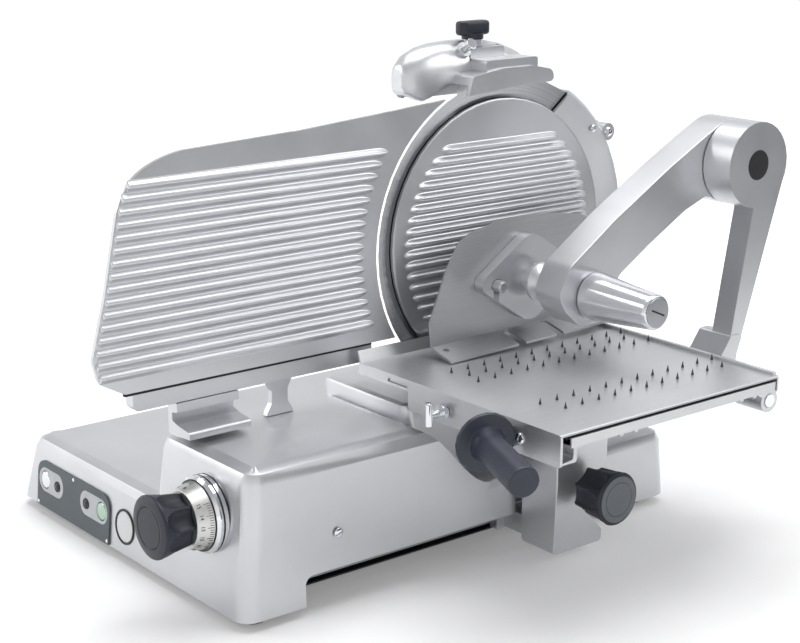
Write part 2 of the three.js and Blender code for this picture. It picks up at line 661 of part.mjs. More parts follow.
function beltLoop(extra) {
  const big = pulley.radius + extra;
  const small = motor.pulleyRadius + extra;
  const spread = axis.z - motorAxis.z;
  const lean = THREE.MathUtils.radToDeg(Math.asin((big - small) / spread));
  return outline([
    ...arc(0, axis.z, big, -lean, 180 + lean, 20), ...arc(0, motorAxis.z, small, 180 + lean, 360 - lean, 8),
  ]);
}
add('drive_belt', cut(alongX(beltLoop(belt.gap + belt.thick), belt.x0, belt.x1),
  alongX(beltLoop(belt.gap), belt.x0 - 1, belt.x1 + 1)), blackRubber);

// Blade cover: ribbed disc joined to the guard over the far side of the blade

function bladeCover() {
  const disc = turned('x', [[0, -3.6], [cover.radius, -3.6], [cover.radius, 0], [cover.radius - 3, 1], [0, 1]],
    axis, 52);
  const ribs = [];
  for (let i = -8; i <= 8; i += 1) {
    const up = (i + 0.5) * cover.ribPitch;
    const reach = Math.sqrt((cover.radius - 22) ** 2 - up * up);
    ribs.push(alongY(outline([
      [0.5, axis.z + up - cover.ribWidth], [cover.ribHeight, axis.z + up - 1], [cover.ribHeight, axis.z + up + 1],
      [0.5, axis.z + up + cover.ribWidth],
    ]), -reach, reach));
  }
  const guardShape = turned('x', [[cover.radius - 4.6, -3.2], [cover.radius + 0.9, -2.4], [bladeRadius - 2, 8.4],
    [bladeRadius + 1.6, 8.4], [bladeRadius + 1.6, housing.front + seat], [guardOuter - 0.8, housing.front + seat],
    [guardOuter - 0.8, 9], [bladeRadius + 1, 11.2], [bladeRadius - 5, 10.6], [cover.radius - 0.6, 1]], axis, 52);
  const sector = alongX(outline([[0, axis.z], ...arc(0, axis.z, 260, guardLow + 1, guardHigh + 1.5, 6)]), -40, 40);
  const bosses = lugs.map((lug) => rod('x', lugRadius - 1, housing.front + seat, 9, lug, 16));
  const screwHoles = lugs.map((lug) => rod('x', 3.3, -40, 40, lug, 12));
  const room = rod('x', bladeRadius + 1.4, -20, 8, axis, 48);
  return cut(joined(disc, ...ribs, guardShape.intersect(sector), ...bosses.map((boss) => boss.subtract(room))),
    ...screwHoles);
}
add('blade_cover', bladeCover(), castAluminium);

// Sharpener

const dome = {
  back: -64, middle: -15.2, front: 14, near: -115, far: 75, peak: -22, rise: 38, waist: -6, low: -27, wall: 5,
};
const stonePlaces = [{ y: -60, z: bladeTop + 1 }, { y: 35.5, z: bladeTop - 2 }];
const stone = { radius: 12, x0: -32, x1: -24.5, spindle: 4 };
const dressingPin = {
  tip: new THREE.Vector3(-5, -38, bladeTop + 37), way: new THREE.Vector3(0.86, 0, 0.51).normalize(),
  radius: 4.4, headRadius: 6, headLength: 6, length: 36,
};

const aboveBlade = (corners) => corners.map(([y, up, radius]) => [y, bladeTop + up, radius]);

// The dome's section at one place along the blade: round above the waist, nearly straight below it
function domeRing(along, inset, low, points) {
  const y = THREE.MathUtils.lerp(dome.near + inset, dome.far - inset, (along + 1) / 2);
  const near = y < dome.peak;
  const away = Math.abs((y - dome.peak) / ((near ? dome.near + inset : dome.far - inset) - dome.peak));
  const top = (dome.rise - inset) * (near ? (1 - away ** 3) ** 0.38 : (1 - away ** 2) ** 0.7);
  const shrink = (1 - Math.abs(along) ** 5) ** 0.4;
  const middle = (dome.back + dome.middle) / 2;
  const half = ((dome.middle - dome.back) / 2 - inset) * shrink;
  const ring = [];
  for (let i = 0; i < points; i += 1) {
    const angle = (2 * Math.PI * i) / points;
    const [side, up] = [Math.cos(angle), Math.sin(angle)];
    const power = up > 0 ? 0.78 : 0.4;
    const reach = up > 0 ? Math.max(top, 1) - dome.waist * shrink : (low - dome.waist) * shrink;
    const height = dome.waist * shrink + Math.abs(reach) * Math.sign(up) * Math.abs(up) ** power;
    ring.push([middle + half * Math.sign(side) * Math.abs(side) ** power, y, bladeTop + height]);
  }
  return ring;
}

function domeSkin(inset, low, stations, points) {
  const rings = [];
  for (let i = 0; i <= stations; i += 1) {
    rings.push(domeRing(-0.985 * Math.cos((Math.PI * i) / stations), inset, low, points));
  }
  return lofted(rings);
}

// A round bar along the pin's slanting axis; distances are measured back from its tip
function alongPin(radius, from, to, segments = 14) {
  const bar = new THREE.CylinderGeometry(radius, radius, to - from, segments);
  bar.translate(0, -(from + to) / 2, 0);
  bar.applyQuaternion(new THREE.Quaternion().setFromUnitVectors(Y, dressingPin.way));
  return toSolid(bar.translate(...dressingPin.tip));
}

function sharpenerHousing() {
  const shell = domeSkin(0, dome.low, 12, 18).subtract(domeSkin(dome.wall, dome.low - 30, 8, 12));
  const lipOutline = outline(aboveBlade([
    [-58, -16], [-52, 4, 5], [-10, 10, 20], [34, 10, 20], [63, 4, 8], [66, -9, 5], [5, -11, 60],
  ]));
  const lip = alongX(lipOutline, dome.middle - 5, dome.front, 2);
  const bladeRoom = joined(rod('x', bladeRadius + 3.5, -60, 9, axis, 48),
    box(dome.middle - 8, 9, -48, 56, bladeTop - 45, bladeTop - 4));
  const bridge = alongX(outline(aboveBlade([[-30, 19, 3], [-30, 1], [44, 1], [44, 19, 3]])), dome.middle - 6, dome.front - 4);
  const spindleBosses = stonePlaces.map((place) => rod('x', 8, dome.back + 2, dome.back + 14, place, 12));
  const postRoom = box(post.x0 - 0.8, post.x1 + 0.7, post.near - 1.5, post.far + 1.5, bladeTop - 45, post.top + 0.3);
  const stud = rod('z', 5.5, bladeTop + 15, bladeTop + 45, sharpenerAxis, 12);
  const knobSeat = rod('z', 11, bladeTop + 31, bladeTop + 38.4, sharpenerAxis, 18);
  const pinSeat = alongPin(dressingPin.headRadius + 2.5, 14, 26);
  const pinHole = alongPin(dressingPin.radius + 0.3, -5, 60);
  const body = joined(shell, lip, bridge, knobSeat, pinSeat);
  return cut(joined(body.subtract(bladeRoom), ...spindleBosses), postRoom, stud, pinHole,
    ...stonePlaces.map((place) => rod('x', stone.spindle + pressFit, dome.back + 6, dome.back + 16, place, 10)));
}
add('sharpener_housing', sharpenerHousing(), castAluminium);

// A stone bonded to its spindle, one for each face of the edge
stonePlaces.forEach((place, i) => {
  const end = dome.back + 6.5;
  const profile = [[0, end], [stone.spindle, end], [stone.spindle, stone.x0], [stone.radius, stone.x0],
    [stone.radius, stone.x1], [0, stone.x1]];
  add(`sharpener_stone_${i + 1}`, turned('x', profile, place, 16), greyStone);
});

function sharpenerKnob() {
  const stud = rod('z', 5, bladeTop + 3, bladeTop + 41, sharpenerAxis, 12);
  const collar = rod('z', 12, bladeTop + 38.8, bladeTop + 45, sharpenerAxis, 18);
  const grip = alongZ(rectangle(sharpenerAxis.x - 9, sharpenerAxis.x + 9, sharpenerAxis.y - 21, sharpenerAxis.y + 21, 8.5),
    bladeTop + 43, bladeTop + 58, 3, 3);
  return joined(stud, collar, grip);
}
add('sharpener_knob', sharpenerKnob(), navyPlastic);

function sharpenerPin() {
  const { radius, headRadius, headLength, length } = dressingPin;
  return joined(alongPin(radius, 1, length), alongPin(headRadius, 0, headLength, 18));
}
add('sharpener_pin', sharpenerPin(), chrome);

// Carriage guide rods inside the casing

const rail = { radius: 8, x: 44, z: 27, front: -393, far: 62, barX0: 84, barX1: 92, barLow: 18, barHigh: 36 };
const railFit = 0.25;
const railBlock = { x0: 24, x1: 106, high: 41, thick: 16 };

add('guide_rod', rod('y', rail.radius, rail.front, rail.far, rail, 20), steel);
add('guide_bar', box(rail.barX0, rail.barX1, rail.front, rail.far, rail.barLow, rail.barHigh), steel);

function rodBlock(y0, y1) {
  const block = box(railBlock.x0, railBlock.x1, y0, y1, floorTop, railBlock.high);
  const rodHole = rod('y', rail.radius + railFit, y0 - 1, y1 + 1, rail, 20);
  const barHole = box(rail.barX0 - railFit, rail.barX1 + railFit, y0 - 1, y1 + 1, rail.barLow - railFit,
    rail.barHigh + railFit);
  return cut(block, rodHole, barHole);
}
add('rod_block_front', rodBlock(rail.front, rail.front + railBlock.thick), castAluminium);
add('rod_block_far', rodBlock(rail.far - railBlock.thick, rail.far), castAluminium);

// Carriage

const slider = { x0: 28, x1: 104, front: -90, far: -10, low: 14, high: 39, bushRadius: 11 };
const column = { x0: 138, x1: 188, topX: 193, near: -87 };
const carriageTop = 171;
const carriageLow = carriageTop - 6;
const armRod = { y: 158, z: 150, radius: 7.5, x0: 97, x1: 262 };
const plateEdge = { x0: armRod.x0, x1: armRod.x1, near: -133, far: armRod.y + 13, notchX0: 107, notchX1: 222, notchNear: 134 };

function carriageSlider() {
  const block = box(slider.x0, slider.x1, slider.front, slider.far, slider.low, slider.high);
  const arm = box(slider.x1 - 4, column.x0 - seat, slider.front + 10, slider.far - 12, slider.low + 2, slider.high - 1);
  const bore = rod('y', slider.bushRadius + railFit, slider.front - 1, slider.far + 1, rail, 20);
  const groove = box(rail.barX0 - runningGap, rail.barX1 + runningGap, slider.front - 1, slider.far + 1, 0,
    rail.barHigh + runningGap);
  return cut(joined(block, arm), bore, groove);
}
add('carriage_slider', carriageSlider(), castAluminium);

add('slider_bush', ring('y', rail.radius + seat, slider.bushRadius, slider.front, slider.far, rail, 20), bronze);

const lock = { y: -52, z: 82, radius: 28, lobes: 5, fluteDepth: 5, x0: 205, x1: 247, neckRadius: 13, studRadius: 6 };

function carriageColumn() {
  const top = carriageLow - seat;
  const side = outline([
    [column.near, 10.5, 5], [-17, 10.5, 5], [-17, 24, 6], [-56, 62, 14], [-15, 100, 14], [-13, top], [column.near, top],
  ]);
  const body = alongX(side, column.x0, column.topX, 3, 3);
  const taper = alongY(outline([[column.x1, -5], [column.topX + 20, -5], [column.topX + 20, 107],
    [column.topX, 107]]), -120, 40);
  const hole = rod('x', lock.studRadius + 0.4, column.x0 + 12, column.topX + 10, lock, 16);
  return cut(body, taper, hole);
}
add('carriage_column', carriageColumn(), castAluminium);

const tableRail = { ys: [-96, 78], width: 14, high: 184, x0: 100, x1: 258 };

// The plate forks round the arm's sleeve at the far end and turns down into a grip at the near end
function carriagePlate() {
  const { x0, x1, near, far, notchX0, notchX1, notchNear } = plateEdge;
  const plate = alongZ(outline([
    [x0, near, 3], [x1, near, 3], [x1, far], [notchX1, far], [notchX1, notchNear, 6], [notchX0, notchNear, 6],
    [notchX0, far], [x0, far],
  ]), carriageLow, carriageTop);
  const hook = alongX(outline([
    [near, carriageTop], [near, 148, 3], [near - 20, 146, 3], [near - 23, 151], [near - 21, 144, 2], [near + 5, 144, 3],
    [near + 5, carriageTop],
  ]), column.x0 + 2, x1, 2);
  const rib = box(notchX1, notchX1 + 6, near + 4, notchNear + 4, carriageLow - 11, carriageLow + 1);
  const lugOutline = outline([[armRod.y - 18, carriageTop], [far, carriageTop], [far, armRod.z + 8, 4],
    [armRod.y, armRod.z], [armRod.y - 18, armRod.z + 8, 4]]);
  const farLug = joined(alongX(lugOutline, notchX1, x1), rod('x', 13.3, notchX1, x1, armRod, 20));
  const nearLug = joined(alongX(lugOutline, x0, notchX0), rod('x', 12, x0, notchX0, armRod, 20));
  const bore = rod('x', armRod.radius + 0.2, x0 - 7, x1 + 8, armRod, 20);
  const rails = tableRail.ys.map((y) => box(tableRail.x0, tableRail.x1, y - tableRail.width / 2,
    y + tableRail.width / 2, carriageTop - 1, tableRail.high));
  return cut(joined(plate, hook, rib, ...rails, farLug, nearLug), bore);
}
add('carriage_plate', carriagePlate(), castAluminium);
add('arm_rod', rod('x', armRod.radius, armRod.x0 - 1.5, armRod.x1 + 1, armRod, 20), chrome);

function lockKnob() {
  const corners = lobedOutline(lock.radius, lock.lobes, lock.fluteDepth, 8).map(([u, v]) => [lock.y + u, lock.z + v]);
  const body = alongX(outline(corners), lock.x0, lock.x1, 2, 2);
  const neck = rod('x', lock.neckRadius, column.topX + 1.5, lock.x0 + 2, lock, 16);
  const stud = rod('x', lock.studRadius, column.x0 + 12.5, lock.x0 + 2, lock, 16);
  return joined(body, neck, stud);
}
add('lock_knob', lockKnob(), navyPlastic);

// Meat table

const table = { x0: 8.4, x1: 318, front: -205, far: 102, sheet: 2.5, skirt: 3, skirtLow: 170, lip: 214, bead: 3.5 };
const pinPlace = { x: 156, z: 185, radius: 4 };
const handleStem = { x: 241, z: 184.5, radius: 7 };

function tableSheet() {
  const bottomX = 94;
  const profile = outline([
    [table.x0, table.lip - 1], [table.x0 + 2, table.lip], [table.x0 + 7, tableTop], [table.x1, tableTop, 2],
    [table.x1, tableTop - table.sheet], [table.x0 + 5, tableTop - table.sheet],
  ]);
  const top = alongY(profile, table.front, table.far);
  const frontSkirt = alongY(outline([
    [bottomX, table.skirtLow, 6], [table.x1, table.skirtLow, 3], [table.x1, tableTop - 1], [table.x0 + 4, tableTop - 1],
    [table.x0 + 2, 190], [bottomX, 190],
  ]), table.front, table.front + table.skirt);
  const slot = box(61, 93, table.front - 1, table.front + table.skirt + 1, tableTop - 9, tableTop - 5);
  const farSkirt = box(bottomX, table.x1, table.far - table.sheet, table.far, tableTop - 16, tableTop - 1);
  const beadTop = tableTop + table.bead;
  const bead = alongX(outline([[table.far - 5, tableTop - 1], [table.far, tableTop - 1], [table.far, beadTop, 1],
    [table.far - 5, beadTop, 1]]), table.x0 + 8, table.x1 - 4);
  const holes = [rod('y', pinPlace.radius + runningGap, table.front - 2, table.front + table.skirt + 2, pinPlace, 14),
    rod('y', handleStem.radius + seat, table.front - 2, table.front + table.skirt + 2, handleStem, 14)];
  return cut(joined(top, cut(frontSkirt, slot), farSkirt, bead), ...holes);
}
add('table_plate', tableSheet(), stainless);

const runner = { low: 176, high: tableTop - table.sheet - seat, wall: 5, x0: 100, x1: 300 };

// Inverted channels under the table that slide on the rails
function tableRunners() {
  const channels = tableRail.ys.map((y) => {
    const half = tableRail.width / 2 + runningGap + runner.wall;
    const inner = tableRail.width / 2 + runningGap;
    const channel = outline([[y - half, runner.low], [y - inner, runner.low], [y - inner, tableRail.high + seat],
      [y + inner, tableRail.high + seat], [y + inner, runner.low], [y + half, runner.low], [y + half, runner.high],
      [y - half, runner.high]]);
    return alongX(channel, runner.x0, runner.x1);
  });
  const strip = box(runner.x0, runner.x1, tableRail.ys[0], tableRail.ys[1], runner.high - 3, runner.high);
  return joined(...channels, strip);
}
add('table_runners', tableRunners(), stainless);

const handle = { x: 250, y: table.front - 34, z: 186.5, yawDegrees: -17.7, dipDegrees: 6.5, length: 92 };

function pushHandle() {
  const profile = [[0, 0], [29, 0], [30.5, 3], [29.5, 6], [18, 7], [16, 12], [15, 20],
    [15.5, handle.length - 1.5], [14.5, handle.length], [0, handle.length]];
  const points = profile.map(([radius, along]) => new THREE.Vector2(radius, along));
  const turn = new THREE.Matrix4().makeRotationZ(THREE.MathUtils.degToRad(handle.yawDegrees));
  const dip = new THREE.Matrix4().makeRotationY(THREE.MathUtils.degToRad(handle.dipDegrees));
  const geometry = new THREE.LatheGeometry(points, 20);
  geometry.applyMatrix4(turnedBasis.x).applyMatrix4(dip).applyMatrix4(turn);
  geometry.translate(handle.x, handle.y, handle.z);
  const neck = box(handle.x - 22, handle.x + 4, handle.y - 8, table.front - seat, handle.z - 12, handle.z + 8);
  const stem = rod('y', handleStem.radius, table.front - 2, table.front + 6, handleStem, 14);
  return joined(toSolid(geometry), neck, stem);
}
add('push_handle', pushHandle(), slatePlastic);

function tablePin() {
  const crossY = table.front - 24;
  const cross = { low: 173, high: 198, radius: 4.5, rounding: 1.4 };
  const shaft = rod('y', pinPlace.radius, crossY, table.front + 14, pinPlace, 14);
  const collar = rod('y', 2 * pinPlace.radius, table.front - 9, table.front - 4.5, pinPlace, 16);
  const crossBar = turned('z', [[0, cross.low], [cross.radius - cross.rounding, cross.low],
    [cross.radius, cross.low + cross.rounding], [cross.radius, cross.high - cross.rounding],
    [cross.radius - cross.rounding, cross.high], [0, cross.high]], { x: pinPlace.x, y: crossY }, 14);
  return joined(shaft, collar, crossBar);
}
add('table_pin', tablePin(), chrome);

// Press arm

const head = { y: 200, z: 392, radius: 47 };
const hub = { y: -8, z: 272, radius: 40 };
const sleeve = { x0: 150, x1: 196, radius: 20, bushRadius: 11 };
const link = { x0: 119, x1: 157 };
const drum = { x0: 158, x1: 195, radius: 47 };
const headPivotRadius = 12;
const plug = { radius: 10.5, deep: 3.7, proud: 3 };

function armBush() {
  return ring('x', armRod.radius + 0.3, sleeve.bushRadius, sleeve.x0, sleeve.x1, armRod, 20);
}
add('arm_bush', armBush(), bronze);

function upperArm() {
  const right = (z) => 183 + 0.33 * (z - 193);
  const left = (z) => 167 + 0.19 * (z - 196);
  const leg = alongX(outline([
    [armRod.y - 10, 150], [armRod.y + 17, 150], [right(185), 185], [right(372), 372], [head.y, head.z], [left(352) - 12, 366],
    [left(345), 345, 8], [left(196), 196],
  ]), 168, drum.x1);
  const foot = alongX(outline([[armRod.y - 15, 172], [armRod.y + 16, 172], [right(206), 206, 4], [left(206), 206, 4]]),
    sleeve.x0, 196);
  const drumBody = rod('x', drum.radius, drum.x0, drum.x1, head, 30);
  const sleeveBody = rod('x', sleeve.radius, sleeve.x0, sleeve.x1, armRod, 22);
  const bore = rod('x', sleeve.bushRadius + 0.2, sleeve.x0 - 10, sleeve.x1 + 14, armRod, 20);
  const pivotHole = rod('x', headPivotRadius + seat, drum.x0 - 1, drum.x1 - 8, head, 20);
  const plugHole = rod('x', plug.radius + seat, drum.x1 - plug.deep - seat, drum.x1 + 1, head, 16);
  return cut(joined(leg, foot, drumBody, sleeveBody), bore, pivotHole, plugHole);
}
add('upright_arm', upperArm(), castAluminium);
add('arm_plug', turned('x', [[0, drum.x1 - plug.deep], [plug.radius, drum.x1 - plug.deep], [plug.radius, drum.x1 + 1],
  [plug.radius - 2, drum.x1 + plug.proud], [0, drum.x1 + plug.proud]], head, 16), blackRubber);

const grip = { pinRadius: 8, socket: 13, flangeRadius: 26, flangeX: link.x1 + seat, endX: 249, capRadius: 12.6, capDeep: 2.5 };
const spoolPin = { radius: 10, deep: 14 };

function linkArm() {
  const shape = outline([
    [-57, 276, 18], [-44, 305, 30], [22, 349], [102, 395], [158, 424], ...arc(head.y, head.z, head.radius, 118, -105, 18),
    [162, 357, 12], [129, 345], [73, 314], [31, 288, 20], [4, 244, 14], [-26, 241, 14], [-46, 259, 12],
  ].toReversed());
  const pivot = rod('x', headPivotRadius, link.x1 - 1, drum.x1 - 9, head, 20);
  const handleHole = rod('x', grip.pinRadius + seat, link.x1 - grip.socket - 1, link.x1 + 1, hub, 16);
  const spoolHole = rod('x', spoolPin.radius + seat, link.x0 - 1, link.x0 + spoolPin.deep + 6, hub, 20);
  return cut(joined(alongX(shape, link.x0, link.x1), pivot), handleHole, spoolHole);
}
add('link_arm', linkArm(), castAluminium);

function armHandle() {
  const inner = link.x1 - grip.socket;
  const { flangeX, endX } = grip;
  const capSeat = endX - grip.capDeep;
  const profile = [[0, inner], [grip.pinRadius, inner], [grip.pinRadius, flangeX], [grip.flangeRadius, flangeX],
    [grip.flangeRadius, flangeX + 6.7], [20, flangeX + 12.7], [16.5, 190], [17.5, 230], [17.5, endX - 3], [15.5, endX],
    [grip.capRadius + 0.4, endX], [grip.capRadius + 0.4, capSeat], [0, capSeat]];
  return turned('x', profile, hub, 22);
}
add('arm_handle', armHandle(), polishedAluminium);

function handleCap() {
  const disc = rod('x', grip.capRadius, grip.endX - grip.capDeep + seat, grip.endX + 0.4, hub, 20);
  const slotHalf = 1.2;
  return disc.subtract(box(grip.endX - 0.8, grip.endX + 3, hub.y - grip.capRadius - 1, hub.y + grip.capRadius + 1,
    hub.z - slotHalf, hub.z + slotHalf));
}
add('handle_cap', handleCap(), steel);

// Pusher

const pusher = { x0: 46, x1: 48.5, near: -136, far: 128, low: 217, tiltDegrees: 1.6 };
const shelf = { reach: 80, drop: 7.6, slotWidth: 11, slotX: 50, slotYs: [-35, 20], holeRadius: 3.4, holeX: 59, holeYs: [-125, 112] };
const forkStud = { across: 50, radius: 6.5, reach: 74, slotHalf: 4 };
const centreStud = { radius: 6, bore: 6.6, headRadius: 11, end: 59.6 };
const forkFlangeX = 62;
const forkStuds = [-forkStud.across, forkStud.across].map((across) => ({ y: hub.y + across, z: hub.z }));

// The pusher hangs a little lower at the near end, so its lower edge and its shelf lean by this much
const pusherLowAt = (y) => pusher.low + y * Math.tan(THREE.MathUtils.degToRad(pusher.tiltDegrees));

function pusherShelf() {
  const sheet = pusher.x1 - pusher.x0;
  const level = alongY(outline([
    [pusher.x0, 3], [pusher.x0, -1, 1], [pusher.x0 + 2, -2, 1], [shelf.reach, -shelf.drop - sheet],
    [shelf.reach, -shelf.drop], [pusher.x1, 0.6], [pusher.x1, 3],
  ]), pusher.near, pusher.far);
  const holes = shelf.holeYs.map((y) => rod('z', shelf.holeRadius, -20, 5, { x: shelf.holeX, y }, 12));
  const slots = shelf.slotYs.map((y) => alongZ(rectangle(shelf.slotX, shelf.reach + 10, y - shelf.slotWidth / 2,
    y + shelf.slotWidth / 2, 5), -20, 5, 3));
  return cut(level, ...holes, ...slots).rotate([pusher.tiltDegrees, 0, 0]).translate([0, 0, pusher.low]);
}

function pusherPlate() {
  const [near, far] = [pusherLowAt(pusher.near), pusherLowAt(pusher.far)];
  const shape = outline([
    [pusher.near, near, 3], [-138.7, 240, 12], [-118, 291, 30], [-100, 321, 20], [-84, 330, 30], [-49, 337, 40],
    [-8, 340, 60], [34, 337, 60], [81, 330, 20], [110, 310, 20], [pusher.far, 270, 20], [pusher.far, far, 3],
  ].toReversed());
  const plate = alongX(shape, pusher.x0, pusher.x1, 2);
  const centreHole = rod('x', centreStud.radius + seat, pusher.x0 - 6, pusher.x1 + 6, hub, 16);
  const studs = forkStuds.map((place) => turned('x', [[0, pusher.x0], [forkStud.radius, pusher.x0],
    [forkStud.radius, forkStud.reach - 2], [forkStud.radius - 2, forkStud.reach], [0, forkStud.reach]], place, 12));
  return joined(plate.subtract(centreHole), pusherShelf(), ...studs);
}
add('pusher_plate', pusherPlate(), stainless);

// A forked flange on the plate's two studs, and the spool that hangs it on the link arm
function pusherSpool() {
  const inner = pusher.x1 + seat;
  const end = link.x0 + spoolPin.deep;
  const profile = [[0, end], [spoolPin.radius, end], [spoolPin.radius, link.x0 - seat], [19, link.x0 - seat], [16, 108], [15, 92], [18, 84],
    [22, 80], [22, 76], [18, 73], [14, 69], [14, inner], [centreStud.bore, inner],
    [centreStud.bore, centreStud.end + 0.4], [0, centreStud.end + 0.4]];
  const round = turned('x', profile, hub, 18);
  const diamond = alongX(outline([
    [hub.y - 78, hub.z + 2, 10], [hub.y, hub.z - 50, 22], [hub.y + 78, hub.z + 2, 10], [hub.y, hub.z + 54, 26],
  ]), inner, forkFlangeX, 3);
  const bore = rod('x', centreStud.bore, pusher.x0 - 6, centreStud.end + 0.4, hub, 16);
  const forks = forkStuds.map(({ y, z }) => joined(
    rod('x', forkStud.radius + runningGap, inner - 1, forkFlangeX + 8, { y, z }, 12),
    box(inner - 1, forkFlangeX + 8, y - forkStud.slotHalf, y + forkStud.slotHalf, z - 40, z),
  ));
  return cut(joined(round, diamond), bore, ...forks);
}
add('pusher_spool', pusherSpool(), castAluminium);

const studProfile = [[0, centreStud.end], [centreStud.radius, centreStud.end], [centreStud.radius, pusher.x0 - seat],
  [centreStud.headRadius, pusher.x0 - seat], [centreStud.headRadius - 2, pusher.x0 - 3], [0, pusher.x0 - 3.5]];
add('pusher_stud', turned('x', studProfile, hub, 16), chrome);

// Put the middle of the foot print at the origin

group.updateMatrixWorld(true);
const bounds = new THREE.Box3().setFromObject(group);
const middle = bounds.getCenter(new THREE.Vector3());
group.position.set(-middle.x, -middle.y, -bounds.min.z);
group.updateMatrixWorld(true);

export default group;
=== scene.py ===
# %% [markdown]
# # An upright slicing machine, dressed for its photograph
# The shapes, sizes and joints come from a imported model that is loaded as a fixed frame.
# This file adds what a camera sees: satin aluminium, brushed sheet, moulded plastic, and the
# small pieces that a hand would notice, such as screws, spikes and the marks of the dial.
# The frame is in metres. Each piece made here is placed in it and rides on one of its bodies, so it
# moves as that body does. Where a small piece goes was read off the photograph.

# %% Load the frame
import json
import math

import bpy
import numpy as np
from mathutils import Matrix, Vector


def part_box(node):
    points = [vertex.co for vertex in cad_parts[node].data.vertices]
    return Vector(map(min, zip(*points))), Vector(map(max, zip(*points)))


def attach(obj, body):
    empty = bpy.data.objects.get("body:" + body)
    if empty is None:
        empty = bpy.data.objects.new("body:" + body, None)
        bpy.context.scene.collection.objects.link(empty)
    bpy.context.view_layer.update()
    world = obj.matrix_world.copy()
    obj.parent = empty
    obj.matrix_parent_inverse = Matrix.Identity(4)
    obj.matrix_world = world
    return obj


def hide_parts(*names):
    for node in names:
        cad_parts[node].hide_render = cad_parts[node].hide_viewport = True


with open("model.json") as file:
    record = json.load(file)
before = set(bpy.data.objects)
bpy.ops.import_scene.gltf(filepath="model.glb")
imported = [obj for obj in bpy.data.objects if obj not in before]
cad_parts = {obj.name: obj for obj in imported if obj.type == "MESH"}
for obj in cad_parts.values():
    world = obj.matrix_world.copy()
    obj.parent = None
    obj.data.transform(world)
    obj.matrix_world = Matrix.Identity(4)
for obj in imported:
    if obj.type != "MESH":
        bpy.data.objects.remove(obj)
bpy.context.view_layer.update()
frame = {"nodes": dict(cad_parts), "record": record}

nodes = frame["nodes"]

# %% [markdown]
# ## Measuring from the blade
# The machine is laid out round its blade axis, so a point is easiest to say as millimetres across,
# along and above the worktop, counted from the rim of the blade cover. The blade is a full circle,
# so the middle of its box is the axis, whatever else the model's box holds.

# %% Machine coordinates
MM = 0.001
BLADE_AXIS_HEIGHT = 310.0
BLADE_EDGE_X = 6.7

blade_low, blade_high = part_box("blade")
MACHINE_ORIGIN = np.array([
    blade_high.x - BLADE_EDGE_X * MM,
    (blade_low.y + blade_high.y) / 2,
    (blade_low.z + blade_high.z) / 2 - BLADE_AXIS_HEIGHT * MM,
])


def at(x, y, z):
    """A point of the machine, in millimetres from the cover's rim plane, the blade axis and the
    worktop, as a place in the frame, in metres."""
    return MACHINE_ORIGIN + np.array([x, y, z]) * MM


print("blade axis at", at(0, 0, BLADE_AXIS_HEIGHT).round(4))

# %% [markdown]
# ## The camera
# The photograph looks down a little from the operator's right. Its straight edges give the place,
# the two angles and the length of lens below, and the lens needs no shift.

# %% Camera
CAMERA_AZIMUTH = math.radians(51.5)
CAMERA_TILT = math.radians(15.1)
CAMERA_PLACE = at(1410, -1262, 719)
LENS_MM, SENSOR_WIDTH_MM = 78.3, 36

back = Vector((
    math.sin(CAMERA_AZIMUTH) * math.cos(CAMERA_TILT),
    -math.cos(CAMERA_AZIMUTH) * math.cos(CAMERA_TILT),
    math.sin(CAMERA_TILT),
))
lens = bpy.data.cameras.new("photo_camera")
lens.lens = LENS_MM
lens.sensor_width = SENSOR_WIDTH_MM
camera = bpy.data.objects.new("photo_camera", lens)
camera.location = CAMERA_PLACE
camera.rotation_mode = "QUATERNION"
camera.rotation_quaternion = (-back).to_track_quat("-Z", "Y")
bpy.context.scene.collection.objects.link(camera)
bpy.context.scene.camera = camera
bpy.context.scene.view_settings.view_transform = "Standard"
print("camera at", CAMERA_PLACE.round(3))

# %% [markdown]
# ## Two helpers for materials
# A material is a small graph. One function adds a node to it with its settings, its input values
# and its links, and one turns a hex colour, as a paint chart gives it, into the linear light that
# the renderer adds up. Noise seldom leaves the middle of its range, so that middle is what gets
# spread over two colours or two values.

# %% Material helpers
NOISE_LOW, NOISE_HIGH = 0.3, 0.7


def linear(hex_colour):
    """Each channel of an sRGB hex value turned to linear light: low values are divided, and the
    rest follow the 2.4 power curve."""
    channels = [int(hex_colour[i:i + 2], 16) / 255 for i in (1, 3, 5)]
    light = [c / 12.92 if c <= 0.04045 else ((c + 0.055) / 1.055) ** 2.4 for c in channels]
    return (*light, 1.0)


def add_node(material, kind, settings=None, values=None, links=None):
    """Adds a node of that kind, sets its properties and input values, and links its inputs."""
    graph = material.node_tree
    made = graph.nodes.new(kind)
    for name, value in (settings or {}).items():
        setattr(made, name, value)
    for socket, value in (values or {}).items():
        made.inputs[socket].default_value = value
    for socket, source in (links or {}).items():
        graph.links.new(source, made.inputs[socket])
    return made


def new_material(name, values):
    """An empty material with one Principled surface, and the surface itself."""
    material = bpy.data.materials.new(name)
    material.use_nodes = True
    material.node_tree.nodes.clear()
    surface = add_node(material, "ShaderNodeBsdfPrincipled", values=values)
    add_node(material, "ShaderNodeOutputMaterial", links={"Surface": surface.outputs["BSDF"]})
    return material, surface


def feed(material, surface, socket, source):
    """Links a source to one input of a surface."""
    material.node_tree.links.new(source, surface.inputs[socket])


def object_pattern(material, stretch=(1, 1, 1), place=(0, 0, 0)):
    """The piece's own coordinates in metres, moved to a place and stretched per axis."""
    coordinates = add_node(material, "ShaderNodeTexCoord")
    mapping = add_node(material, "ShaderNodeMapping", {"vector_type": "POINT"},
                       {"Location": tuple(-np.array(place) * np.array(stretch)), "Scale": stretch},
                       {"Vector": coordinates.outputs["Object"]})
    return mapping.outputs["Vector"]


